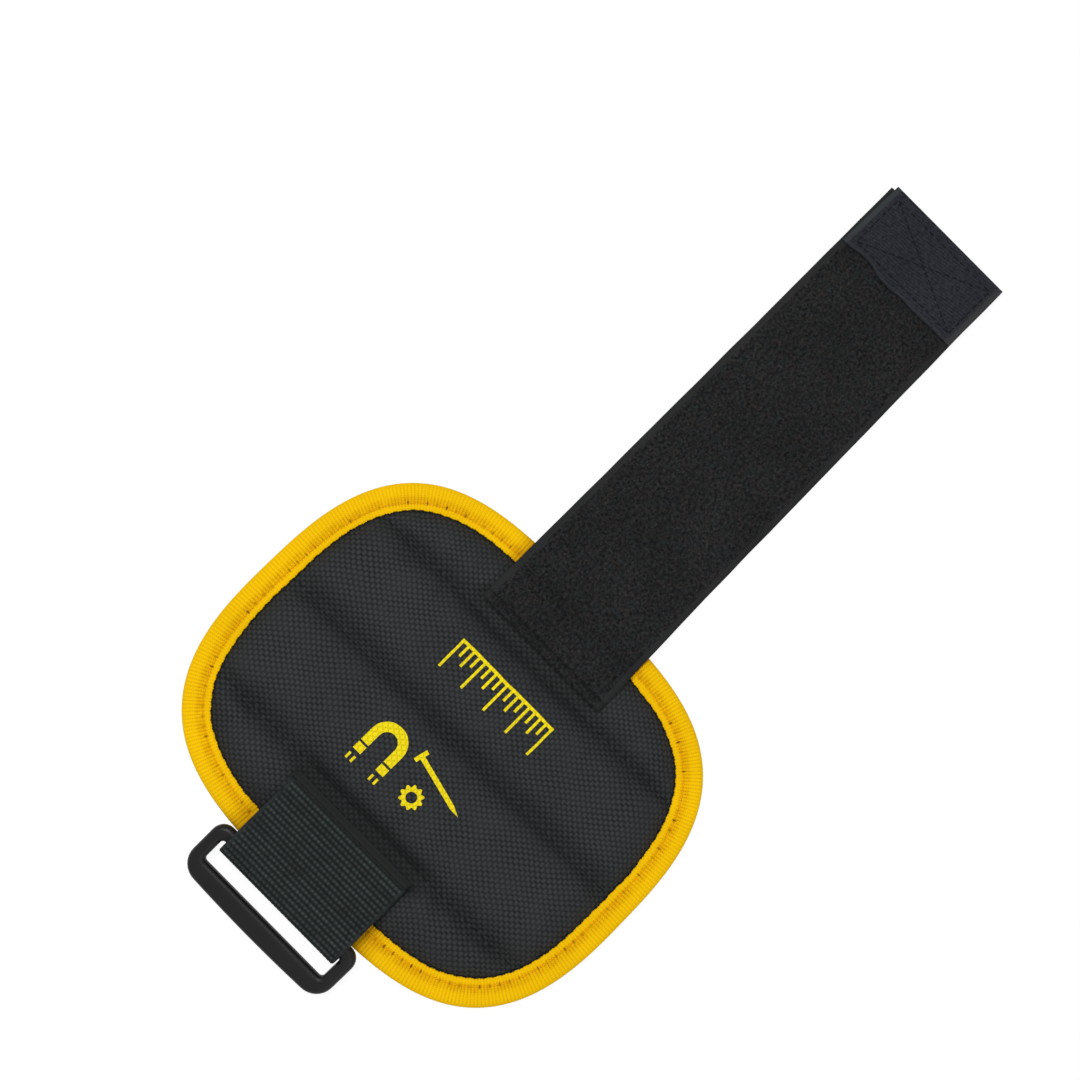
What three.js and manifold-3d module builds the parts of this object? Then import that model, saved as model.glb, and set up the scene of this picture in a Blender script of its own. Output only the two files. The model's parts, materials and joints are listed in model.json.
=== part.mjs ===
// Magnetic wristband: a quilted pad with flat magnets inside, a webbing tab that holds a
// rectangular ring at one end, and a strap of loop tape with a hook patch at the other.
// Millimetres. +X runs along the strap from the ring to the tip, +Y across the pad, +Z up
// out of the face that is worn outwards. The band lies flat on its lining.
// The pad bends at its three sewn valleys and the strap bends along its length, so the cover,
// lining, binding and strap are divided there, with a narrow gap at each bend.

import * as THREE from "three";
import Module from "manifold-3d";
import { mergeVertices } from "three/addons/utils/BufferGeometryUtils.js";

// Pad outline: a rounded square, blunter along its sides than an ellipse
const padLength = 128.6;
const padWidth = 156.6;
const endRoundingPower = 2.78;
const sideRoundingPower = 3.54;

// Sewn valleys across the pad, as shares of its length from the ring's end
const valleyShares = [0.2356, 0.5171, 0.7768];
const valleyDepth = 3.4;
const valleyReach = 7;
const valleyPower = 1.6;
const foldGap = 0.9;
const liningFoldGap = 0.3;

// Layers of the pad
const layerGap = 0.3;
const coverThickness = 0.8;
const liningThickness = 0.7;
const channelRise = 5.4;
const puffReach = 11;
const puffPower = 0.75;
const liningDraw = 0.5;
const liningDrawReach = 5;
const liningLiftReach = 6;
const foamEdgeSetBack = 2;

// Binding tape folded over the pad's edge
const bindingThickness = 0.8;
const bindingWidth = 8.8;
const bindingOuterSteps = 4;
const bindingInnerSteps = 2;

// Flat magnets in the two middle channels, as many as fit in a row clear of the pad's edge
const magnetEndRoom = 22;
const magnetLength = 24;
const magnetWidth = 18;
const magnetThickness = 2;
const magnetCornerRadius = 2;
const magnetEdgeBreak = 0.3;
const magnetSpacing = 3;

// Rectangular ring
const ringSlotLength = 50.8;
const ringSlotWidth = 8.6;
const ringOuterBar = 7.1;
const ringSideBar = 4.4;
const ringInnerBar = 4.6;
const ringThickness = 4;
const ringEdgeRadius = 1.9;
const ringOuterCorner = 6.9;
const ringInnerCorner = 1.6;
const ringAxisSetOff = 1.8;
const ringCornerSteps = 4;

// Webbing tab folded round the ring's inner bar
const tabWidth = 49;
const tabThickness = 1.2;
const tabValleySetBack = 4.2;
const tabFoldOverhang = 7.3;
const tabLowerSetBack = 1.5;
const tabBarClearance = 0.35;
const tabSlantSlack = 0.075;
const tabCrownShare = 0.55;
const tabFoldSteps = 10;
const tabSlantSteps = 5;

// Strap of loop tape and its hook patch
const strapWidth = 50;
const strapThickness = 2;
const strapValleySetBack = 4.3;
const strapFreeLength = 168.2;
const strapBendGap = 0.9;
const strapSegments = 4;
const strapDropReach = 27;
const strapBendSetOff = 1.65;
const hookPatchLength = 26;
const hookPatchThickness = 1.4;
const hookPatchSetBack = 1.2;

const lengthStep = 2;
const cutOverrun = 5;

const halfLength = padLength / 2;
const halfWidth = padWidth / 2;

// Heights of the layers where they are pinched together at the edge
const liningPinched = bindingThickness + layerGap;
const coverPinchedBottom = liningPinched + liningThickness + layerGap;
const coverPinchedTop = coverPinchedBottom + coverThickness;
const upperLipBottom = coverPinchedTop + layerGap;
const edgeThickness = upperLipBottom + bindingThickness;
const edgeRadius = edgeThickness / 2;
const puffStart = bindingWidth + layerGap;
const coverInset = edgeRadius;
const foamInset = bindingWidth + foamEdgeSetBack;
const liningFlatInset = puffStart + liningLiftReach;
const middleInset = (puffStart + liningFlatInset) / 2;

const lerp = (a, b, share) => a + (b - a) * share;
const clampShare = (value) => Math.min(1, Math.max(0, value));
const smooth = (share) => share * share * (3 - 2 * share);
const valleys = valleyShares.map((share) => share * padLength - halfLength);
const panelCount = valleys.length + 1;
const isMiddle = (panel) => panel > 0 && panel < panelCount - 1;

const paint = (color, roughness, metalness = 0) =>
  new THREE.MeshStandardMaterial({ color, roughness, metalness });
const materials = {
  cover: paint(0x2d2f31, 0.85),
  lining: paint(0x1b1c1e, 0.9),
  foam: paint(0x4a4c50, 0.95),
  binding: paint(0xffc200, 0.75),
  magnet: paint(0xa9abb0, 0.3, 0.9),
  webbing: paint(0x212828, 0.8),
  ring: paint(0x282525, 0.45),
  loopTape: paint(0x212222, 0.98),
  hookTape: paint(0x26282e, 0.7),
};

// Pad outline

const newtonPasses = 9;
const halvings = 36;
const quarterSteps = 180;

// A point of the outline, drawn in by the inset along its own normal. The angle is polar
// in the unit square that the pad's half length and half width stretch.
function outlinePoint(angle, inset) {
  const across = Math.abs(Math.cos(angle));
  const up = Math.abs(Math.sin(angle));
  let reach = 1;
  for (let pass = 0; pass < newtonPasses; pass += 1) {
    const u = (across * reach) ** endRoundingPower;
    const v = (up * reach) ** sideRoundingPower;
    reach -= ((u + v - 1) * reach) / (endRoundingPower * u + sideRoundingPower * v);
  }
  const u = across * reach;
  const v = up * reach;
  const slopeX = (endRoundingPower * u ** (endRoundingPower - 1)) / halfLength;
  const slopeY = (sideRoundingPower * v ** (sideRoundingPower - 1)) / halfWidth;
  const steepness = Math.hypot(slopeX, slopeY);
  const x = halfLength * u - (inset * slopeX) / steepness;
  const y = halfWidth * v - (inset * slopeY) / steepness;
  return [Math.cos(angle) < 0 ? -x : x, Math.sin(angle) < 0 ? -y : y];
}

// The angle, in the first quarter turn, where the inset outline is at this distance along X
function angleAt(x, inset) {
  let near = 0;
  let far = Math.PI / 2;
  for (let pass = 0; pass < halvings; pass += 1) {
    const middle = (near + far) / 2;
    if (outlinePoint(middle, inset)[0] > Math.abs(x)) near = middle;
    else far = middle;
  }
  return (near + far) / 2;
}

const outlineQuarter = Array.from({ length: quarterSteps + 1 }, (_, k) =>
  outlinePoint((Math.PI / 2) * (k / quarterSteps), 0),
);

// How far a point of the pad lies inside the outline
function edgeDistance(x, y) {
  const px = Math.abs(x);
  const py = Math.abs(y);
  let best = Infinity;
  for (let k = 0; k + 1 < outlineQuarter.length; k += 1) {
    const [ax, ay] = outlineQuarter[k];
    const [bx, by] = outlineQuarter[k + 1];
    const dx = bx - ax;
    const dy = by - ay;
    const share = clampShare(((px - ax) * dx + (py - ay) * dy) / (dx * dx + dy * dy));
    best = Math.min(best, Math.hypot(px - ax - dx * share, py - ay - dy * share));
  }
  return best;
}

// Surfaces of the pad

// 1 in a sewn valley, falling to 0 at its reach on either side
function valleyShare(x, reach, power) {
  const nearest = Math.min(...valleys.map((place) => Math.abs(x - place)));
  return (1 - clampShare(nearest / reach)) ** power;
}

// Outer face of the cover: pinched under the binding, puffed up over each channel
function coverTop(x, y) {
  const inward = clampShare((edgeDistance(x, y) - puffStart) / puffReach);
  const puff = (1 - (1 - inward) ** 2) ** puffPower;
  const drawn = valleyDepth * valleyShare(x, valleyReach, valleyPower);
  return coverPinchedTop + puff * (channelRise - drawn);
}

// Outer face of the lining: flat on the table, drawn up at the edge and a little at the valleys
function liningBottom(x, y) {
  const outward = 1 - clampShare((edgeDistance(x, y) - puffStart) / liningLiftReach);
  const lift = liningPinched * smooth(outward);
  return Math.max(lift, liningDraw * valleyShare(x, liningDrawReach, 1));
}

// Flat nets of the pad's four panels

const middleColumnShares = [0, 0.05, 0.11, 0.2, 0.5, 0.8, 0.89, 0.95, 1];
const endColumnShares = [0, 0.09, 0.24, 0.56, 1];
const rowShares = [-1, -0.93, -0.82, -0.62, -0.32, 0, 0.32, 0.62, 0.82, 0.93, 1];
const cornerShare = 0.25;
const columnsOf = (panel) => (isMiddle(panel) ? middleColumnShares : endColumnShares);

// Where the panel's own straight sides lie along X, half a gap clear of each valley
const foldsOf = (panel, gap) => [valleys[panel - 1] + gap / 2, valleys[panel] - gap / 2];

// The stretches of outline that a panel has, as functions of a step along them and an inset.
// A middle panel has one on each side, and an end panel has one that goes round its end.
function edgeRuns(panel, gap) {
  const between = (shares, step) => {
    const k = Math.min(shares.length - 2, Math.floor(step));
    return lerp(shares[k], shares[k + 1], step - k);
  };
  if (isMiddle(panel)) {
    const [low, high] = foldsOf(panel, gap);
    return [-1, 1].map((side) => ({
      steps: middleColumnShares.length - 1,
      at: (step, inset) => {
        const x = lerp(low, high, between(middleColumnShares, step));
        return [x, side * outlinePoint(angleAt(x, inset), inset)[1]];
      },
    }));
  }
  const side = panel === 0 ? -1 : 1;
  const foldX = foldsOf(panel, gap)[panel === 0 ? 1 : 0];
  const shares = [
    ...endColumnShares.slice(0, -1).map((share) => cornerShare * share),
    ...rowShares.map((share) => lerp(cornerShare, 1 - cornerShare, (share + 1) / 2)),
    ...endColumnShares.slice(0, -1).reverse().map((share) => 1 - cornerShare * share),
  ];
  const at = (step, inset) => {
    const foldAngle = angleAt(foldX, inset);
    const [x, y] = outlinePoint(lerp(-foldAngle, foldAngle, between(shares, step)), inset);
    return [side * x, y];
  };
  return [{ steps: shares.length - 1, at }];
}

// One panel's net of triangles seen from above: a field of rows and columns out to the first
// inset, blended from its four sides, then a rim out to each further inset
function panelNet(panel, [fieldInset, ...rimInsets], gap) {
  const points = [];
  const faces = [];
  const addPoint = (point) => points.push(point) - 1;
  const addQuad = (a, b, c, d) => {
    for (const [p, q, r] of [[a, b, c], [a, c, d]]) {
      const [px, py] = points[p];
      const [qx, qy] = points[q];
      const [rx, ry] = points[r];
      const turn = (qx - px) * (ry - py) - (rx - px) * (qy - py);
      faces.push(turn > 0 ? [p, q, r] : [p, r, q]);
    }
  };
  const runs = edgeRuns(panel, gap);
  const columns = columnsOf(panel).length - 1;
  const rows = rowShares.length - 1;
  const lowSide = (i) => runs[0].at(i, fieldInset);
  const highSide = (i) =>
    isMiddle(panel) ? runs[1].at(i, fieldInset) : lowSide(runs[0].steps - i);
  const acrossAt = (i, t) => lowSide(i).map((value, axis) => lerp(value, highSide(i)[axis], t));
  const farSide = (j, t) => (isMiddle(panel) ? acrossAt(columns, t) : lowSide(columns + j));
  const grid = columnsOf(panel).map((s, i) =>
    rowShares.map((row, j) => {
      const t = (row + 1) / 2;
      const across = acrossAt(i, t);
      const chord = acrossAt(columns, t);
      const far = farSide(j, t);
      return addPoint(across.map((value, axis) => value + s * (far[axis] - chord[axis])));
    }),
  );
  for (let i = 0; i < columns; i += 1)
    for (let j = 0; j < rows; j += 1)
      addQuad(grid[i][j], grid[i + 1][j], grid[i + 1][j + 1], grid[i][j + 1]);
  const lowRow = grid.map((column) => column[0]);
  const highRow = grid.map((column) => column[rows]);
  const borders = isMiddle(panel)
    ? [lowRow, highRow]
    : [[...lowRow, ...grid[columns].slice(1, -1), ...highRow.reverse()]];
  runs.forEach((run, which) => {
    let inner = borders[which];
    for (const inset of rimInsets) {
      const outer = inner.map((_, k) => addPoint(run.at(k, inset)));
      for (let k = 0; k < run.steps; k += 1) addQuad(inner[k], inner[k + 1], outer[k + 1], outer[k]);
      inner = outer;
    }
  });
  return { points, faces };
}

// Closed body between two height surfaces over a net
function slab({ points, faces }, top, bottom) {
  const count = points.length;
  const positions = [];
  for (const height of [top, bottom])
    for (const [x, y] of points) positions.push(x, y, height(x, y));
  const index = [];
  const edges = new Map();
  for (const face of faces) {
    index.push(...face);
    index.push(face[0] + count, face[2] + count, face[1] + count);
    for (let k = 0; k < 3; k += 1) {
      const [a, b] = [face[k], face[(k + 1) % 3]];
      if (!edges.delete(`${b} ${a}`)) edges.set(`${a} ${b}`, [a, b]);
    }
  }
  for (const [a, b] of edges.values())
    index.push(a, a + count, b + count, a, b + count, b);
  return body(positions, index);
}

function body(positions, index) {
  const geometry = new THREE.BufferGeometry();
  geometry.setAttribute("position", new THREE.Float32BufferAttribute(positions, 3));
  geometry.setIndex(index);
  geometry.computeVertexNormals();
  return geometry;
}

// Closed body through a row of like sections, each a ring of points, with flat ends
function loft(sections, flatSection) {
  const around = sections[0].length;
  const index = [];
  for (let s = 0; s + 1 < sections.length; s += 1)
    for (let k = 0; k < around; k += 1) {
      const a = s * around + k;
      const b = s * around + ((k + 1) % around);
      index.push(a, b, b + around, a, b + around, a + around);
    }
  const last = (sections.length - 1) * around;
  for (const [a, b, c] of THREE.ShapeUtils.triangulateShape(flatSection, [])) {
    index.push(a, c, b);
    index.push(last + a, last + b, last + c);
  }
  return body(sections.flat(2), index);
}

// An outline in X and Z, drawn out across the band about its middle
function acrossBand(outline, width) {
  const shape = new THREE.Shape(outline.map(([x, z]) => new THREE.Vector2(x, z)));
  const geometry = new THREE.ExtrudeGeometry(shape, { depth: width, bevelEnabled: false });
  geometry.rotateX(Math.PI / 2);
  geometry.translate(0, width / 2, 0);
  return geometry;
}

function roundedRectangle(target, width, height, radius) {
  const x = width / 2;
  const y = height / 2;
  const quarter = Math.PI / 2;
  target.absarc(x - radius, y - radius, radius, 0, quarter);
  target.absarc(radius - x, y - radius, radius, quarter, 2 * quarter);
  target.absarc(radius - x, radius - y, radius, 2 * quarter, 3 * quarter);
  target.absarc(x - radius, radius - y, radius, 3 * quarter, 4 * quarter);
  target.closePath();
  return target;
}

// Cutting one body out of another

const wasm = await Module();
wasm.setup();

function toManifold(geometry) {
  const plain = geometry.clone();
  plain.deleteAttribute("normal");
  plain.deleteAttribute("uv");
  const merged = mergeVertices(plain.index ? plain.toNonIndexed() : plain);
  return new wasm.Manifold(
    new wasm.Mesh({
      numProp: 3,
      vertProperties: new Float32Array(merged.attributes.position.array),
      triVerts: new Uint32Array(merged.index.array),
    }),
  );
}

function subtract(geometry, cutters) {
  let solid = toManifold(geometry);
  for (const cutter of cutters) solid = solid.subtract(toManifold(cutter));
  const mesh = solid.getMesh();
  return body(Array.from(mesh.vertProperties), Array.from(mesh.triVerts));
}

// Pad pieces

const coverInsets = [liningFlatInset, middleInset, foamInset, puffStart, coverInset];
const liningInsets = [liningFlatInset, middleInset, puffStart, coverInset];
const foamInsets = [liningFlatInset, middleInset, foamInset];
const coverBottom = (x, y) => coverTop(x, y) - coverThickness;
const liningTop = (x, y) => liningBottom(x, y) + liningThickness;
const foamTop = (x, y) => coverBottom(x, y) - layerGap;
const foamBottom = (x, y) => liningTop(x, y) + layerGap;
const coverPiece = (panel) => slab(panelNet(panel, coverInsets, foldGap), coverTop, coverBottom);
const liningPiece = (panel) =>
  slab(panelNet(panel, liningInsets, liningFoldGap), liningTop, liningBottom);
const foamPiece = (panel) => slab(panelNet(panel, foamInsets, foldGap), foamTop, foamBottom);

// Places of the magnets along a channel, and the height that they reach under the cover
function magnetPlaces(panel) {
  const x = (valleys[panel - 1] + valleys[panel]) / 2;
  const pitch = magnetLength + magnetSpacing;
  const count = Math.floor((padWidth - 2 * magnetEndRoom + magnetSpacing) / pitch);
  const top = coverTop(x - magnetWidth / 2, 0) - coverThickness - layerGap;
  return Array.from({ length: count }, (_, k) => ({
    x,
    y: (k - (count - 1) / 2) * pitch,
    bottom: top - magnetThickness,
  }));
}

function magnetPiece({ x, y, bottom }) {
  const shape = roundedRectangle(new THREE.Shape(), magnetWidth, magnetLength, magnetCornerRadius);
  const geometry = new THREE.ExtrudeGeometry(shape, {
    depth: magnetThickness - 2 * magnetEdgeBreak,
    bevelThickness: magnetEdgeBreak,
    bevelSize: magnetEdgeBreak,
    bevelOffset: -magnetEdgeBreak,
    bevelSegments: 1,
    curveSegments: 1,
  });
  geometry.translate(x, y, bottom + magnetEdgeBreak);
  return geometry;
}

// Foam with a pocket for each magnet, open towards the cover
function foamWithPockets(panel) {
  const pockets = magnetPlaces(panel).map(({ x, y, bottom }) => {
    const depth = magnetThickness + cutOverrun;
    const width = magnetWidth + 2 * layerGap;
    const pocket = new THREE.BoxGeometry(width, magnetLength + 2 * layerGap, depth);
    pocket.translate(x, y, bottom - layerGap + depth / 2);
    return pocket;
  });
  return subtract(foamPiece(panel), pockets);
}

// Binding tape: the section is the inset from the outline and the height
const bindingSection = (() => {
  const outer = [];
  const inner = [];
  for (let k = 0; k <= bindingOuterSteps; k += 1) {
    const turn = Math.PI / 2 + (Math.PI * k) / bindingOuterSteps;
    outer.push([edgeRadius * (1 + Math.cos(turn)), edgeRadius * (1 + Math.sin(turn))]);
  }
  const innerRadius = edgeRadius - bindingThickness;
  for (let k = bindingInnerSteps; k >= 0; k -= 1) {
    const turn = Math.PI / 2 + (Math.PI * k) / bindingInnerSteps;
    inner.push([edgeRadius + innerRadius * Math.cos(turn), edgeRadius + innerRadius * Math.sin(turn)]);
  }
  return [
    [bindingWidth, edgeThickness],
    ...outer,
    [bindingWidth, 0],
    [bindingWidth, bindingThickness],
    ...inner,
    [bindingWidth, upperLipBottom],
  ];
})();

// The binding along one stretch of the outline, with two steps for each of the layers' steps
function bindingPiece(run) {
  const sections = Array.from({ length: 2 * run.steps + 1 }, (_, s) =>
    bindingSection.map(([inset, z]) => [...run.at(s / 2, inset), z]),
  );
  const flat = bindingSection.map(([inset, z]) => new THREE.Vector2(inset, z));
  const geometry = loft(sections, flat);
  return toManifold(geometry).volume() > 0 ? geometry : loft(sections.reverse(), flat);
}

// Ring: its inner bar lies just off the pad's edge, and its outer bar rests on the table

const ringAxisX = -halfLength - ringAxisSetOff;
const barFlat = ringInnerBar / 2 - ringEdgeRadius;
const thicknessFlat = ringThickness / 2 - ringEdgeRadius;
const barReach = Math.hypot(barFlat, thicknessFlat) + ringEdgeRadius;
const cavityRadius = barReach + tabBarClearance;
const tabRadius = cavityRadius + tabThickness / 2;
const bindingRadius = edgeRadius + layerGap + tabThickness / 2;
const bindingCentreX = -halfLength + edgeRadius;
// The tab's lower ply passes between the bar and the binding, which sets how far apart they are
const centreDistance = tabRadius + bindingRadius + tabSlantSlack;
const ringAxisZ = edgeRadius + Math.sqrt(centreDistance ** 2 - (bindingCentreX - ringAxisX) ** 2);
const outerBarOffset = ringInnerBar / 2 + ringSlotWidth + ringOuterBar / 2;
const outerBarFlat = ringOuterBar / 2 - ringEdgeRadius;
const ringTilt =
  Math.asin((ringAxisZ - ringEdgeRadius) / Math.hypot(outerBarOffset + outerBarFlat, thicknessFlat)) -
  Math.atan2(thicknessFlat, outerBarOffset + outerBarFlat);
const ringFarX =
  ringAxisX -
  (outerBarOffset + outerBarFlat) * Math.cos(ringTilt) -
  thicknessFlat * Math.sin(ringTilt) -
  ringEdgeRadius;

function ringPiece() {
  const length = ringSlotLength + 2 * ringSideBar;
  const reach = ringOuterBar + ringSlotWidth + ringInnerBar;
  const shape = roundedRectangle(new THREE.Shape(), reach, length, ringOuterCorner);
  const slot = roundedRectangle(new THREE.Path(), ringSlotWidth, ringSlotLength, ringInnerCorner);
  const slotShift = (ringOuterBar - ringInnerBar) / 2;
  const slotPoints = slot.getPoints(ringCornerSteps);
  const shifted = slotPoints.map(({ x, y }) => new THREE.Vector2(x + slotShift, y));
  shape.holes.push(new THREE.Path(shifted));
  const geometry = new THREE.ExtrudeGeometry(shape, {
    depth: ringThickness - 2 * ringEdgeRadius,
    bevelThickness: ringEdgeRadius,
    bevelSize: ringEdgeRadius,
    bevelOffset: -ringEdgeRadius,
    bevelSegments: 3,
    curveSegments: ringCornerSteps,
  });
  geometry.translate(-(reach - ringInnerBar) / 2, 0, ringEdgeRadius - ringThickness / 2);
  geometry.rotateY(-ringTilt);
  geometry.translate(ringAxisX, 0, ringAxisZ);
  return geometry;
}

// Routes of the tapes over the pad

const nearShares = [-1, -0.5, 0, 0.5, 1];

// The highest that the pad stands near this place on the band's centre line
function padHeightNear(x) {
  const bindingStart = halfLength - puffStart;
  const heights = nearShares
    .map((share) => x + share * lengthStep)
    .map((place) => (Math.abs(place) > bindingStart ? 0 : coverTop(place, 0)));
  const onBinding = Math.abs(x) > bindingStart - lengthStep;
  return Math.max(onBinding ? edgeThickness : 0, ...heights);
}

// Both faces of a tape along its centre line
function tapeFaces(line, thickness) {
  const left = [];
  const right = [];
  line.forEach(([x, z], k) => {
    const [ax, az] = line[Math.max(0, k - 1)];
    const [bx, bz] = line[Math.min(line.length - 1, k + 1)];
    const length = Math.hypot(bx - ax, bz - az);
    const shiftX = (-(bz - az) / length) * (thickness / 2);
    const shiftZ = ((bx - ax) / length) * (thickness / 2);
    left.push([x + shiftX, z + shiftZ]);
    right.push([x - shiftX, z - shiftZ]);
  });
  return { left, right };
}

const tapeOutline = (line, thickness) => {
  const { left, right } = tapeFaces(line, thickness);
  return [...right, ...left.reverse()];
};

function stepsBetween(from, to) {
  const count = Math.max(1, Math.round(Math.abs(to - from) / lengthStep));
  return Array.from({ length: count + 1 }, (_, k) => lerp(from, to, k / count));
}

function arcPoints([x, z], radius, from, to, count) {
  return Array.from({ length: count + 1 }, (_, k) => {
    const turn = lerp(from, to, k / count);
    return [x + radius * Math.cos(turn), z + radius * Math.sin(turn)];
  });
}

// Webbing tab: upper ply from its sewn end to the fold, round the ring's bar, and back below
function tabPiece() {
  const sewnEnd = valleys[0] - tabValleySetBack;
  const rise = layerGap + tabThickness / 2;
  const upperRise = rise + tabThickness + layerGap;
  const foldX = -halfLength - tabFoldOverhang + tabRadius + tabThickness / 2;
  const foldTop = ringAxisZ + tabRadius;
  const crownX = lerp(-halfLength + puffStart, valleys[0], tabCrownShare);
  const upper = stepsBetween(sewnEnd, crownX).map((x) => [x, padHeightNear(x) + upperRise]);
  const crownTop = padHeightNear(crownX) + upperRise;
  const bridge = stepsBetween(crownX, foldX).slice(1, -1).map((x) => {
    const share = (x - crownX) / (foldX - crownX);
    return [x, lerp(crownTop, foldTop, smooth(share))];
  });
  const towards = Math.atan2(edgeRadius - ringAxisZ, bindingCentreX - ringAxisX);
  const slant = towards + Math.asin((tabRadius + bindingRadius) / centreDistance);
  const up = Math.PI / 2;
  const down = (Math.PI * 3) / 2;
  const bar = [ringAxisX, ringAxisZ];
  const bindingCentre = [bindingCentreX, edgeRadius];
  const fold = arcPoints([foldX, ringAxisZ], tabRadius, up, down, tabFoldSteps);
  const underBar = arcPoints(bar, tabRadius, down, down + slant, tabSlantSteps);
  const overBinding = arcPoints(bindingCentre, bindingRadius, up + slant, up, tabSlantSteps);
  const lower = stepsBetween(bindingCentreX, sewnEnd - tabLowerSetBack)
    .slice(1)
    .map((x) => [x, padHeightNear(x) + rise]);
  const line = [...upper, ...bridge, ...fold, ...underBar, ...overBinding, ...lower];
  return acrossBand(tapeOutline(line, tabThickness), tabWidth);
}

// Centre line of the strap: over the pad, then down from its edge to the table
function strapHeight(x) {
  const onPad = padHeightNear(Math.min(x, halfLength)) + layerGap + strapThickness / 2;
  const dropStart = halfLength - edgeRadius;
  const share = clampShare((x - dropStart) / strapDropReach);
  return lerp(onPad, strapThickness / 2, smooth(share));
}

const strapSewnEnd = valleys[valleys.length - 1] + strapValleySetBack;
const strapTip = halfLength + strapFreeLength;
const strapFirstBend = halfLength + strapBendSetOff;
const strapLastBend = strapTip - hookPatchLength - hookPatchSetBack;
const strapBends = Array.from({ length: strapSegments + 1 }, (_, k) =>
  lerp(strapFirstBend, strapLastBend, k / strapSegments),
);

function strapPiece(from, to) {
  const line = stepsBetween(from, to).map((x) => [x, strapHeight(x)]);
  const landed = halfLength - edgeRadius + strapDropReach;
  const turns = line.filter(([x], k) => k === 0 || k === line.length - 1 || x < landed);
  return acrossBand(tapeOutline(turns, strapThickness), strapWidth);
}

function hookPatchPiece() {
  const low = strapThickness + layerGap;
  const high = low + hookPatchThickness;
  const from = strapTip - hookPatchLength;
  return acrossBand([[from, low], [strapTip, low], [strapTip, high], [from, high]], strapWidth);
}

// The whole band, with its origin under the middle of its overall length

const band = new THREE.Group();
band.position.x = -(ringFarX + strapTip) / 2;

function add(name, geometry, material) {
  const mesh = new THREE.Mesh(geometry, material);
  mesh.name = name;
  band.add(mesh);
}

for (let panel = 0; panel < panelCount; panel += 1) {
  const number = panel + 1;
  const foam = isMiddle(panel) ? foamWithPockets(panel) : foamPiece(panel);
  add(`cover_panel_${number}`, coverPiece(panel), materials.cover);
  add(`lining_panel_${number}`, liningPiece(panel), materials.lining);
  add(`foam_channel_${number}`, foam, materials.foam);
  const sideNames = isMiddle(panel) ? ["_right", "_left"] : [""];
  edgeRuns(panel, foldGap).forEach((run, k) =>
    add(`binding_tape_${number}${sideNames[k]}`, bindingPiece(run), materials.binding),
  );
  if (isMiddle(panel))
    magnetPlaces(panel).forEach((place, k) =>
      add(`magnet_${number}_${k + 1}`, magnetPiece(place), materials.magnet),
    );
}
add("webbing_tab", tabPiece(), materials.webbing);
add("ring", ringPiece(), materials.ring);
add("strap_root", strapPiece(strapSewnEnd, strapFirstBend - strapBendGap / 2), materials.loopTape);
for (let k = 0; k < strapSegments; k += 1) {
  const from = strapBends[k] + strapBendGap / 2;
  const to = strapBends[k + 1] - strapBendGap / 2;
  add(`strap_${k + 1}`, strapPiece(from, to), materials.loopTape);
}
add("strap_tip", strapPiece(strapLastBend + strapBendGap / 2, strapTip), materials.loopTape);
add("hook_patch", hookPatchPiece(), materials.hookTape);

export default band;
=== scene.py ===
"""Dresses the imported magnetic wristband: quilted pad, binding, webbing tab, ring and strap.

The file is laid out as an add-on. Each operator makes one piece, or one group of like pieces,
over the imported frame, and main() calls them in order. Lengths are metres in the frame's axes:
+X along the strap from the ring to the tip, +Y across the pad, +Z up.
"""

import functools
import json
import math

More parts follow.
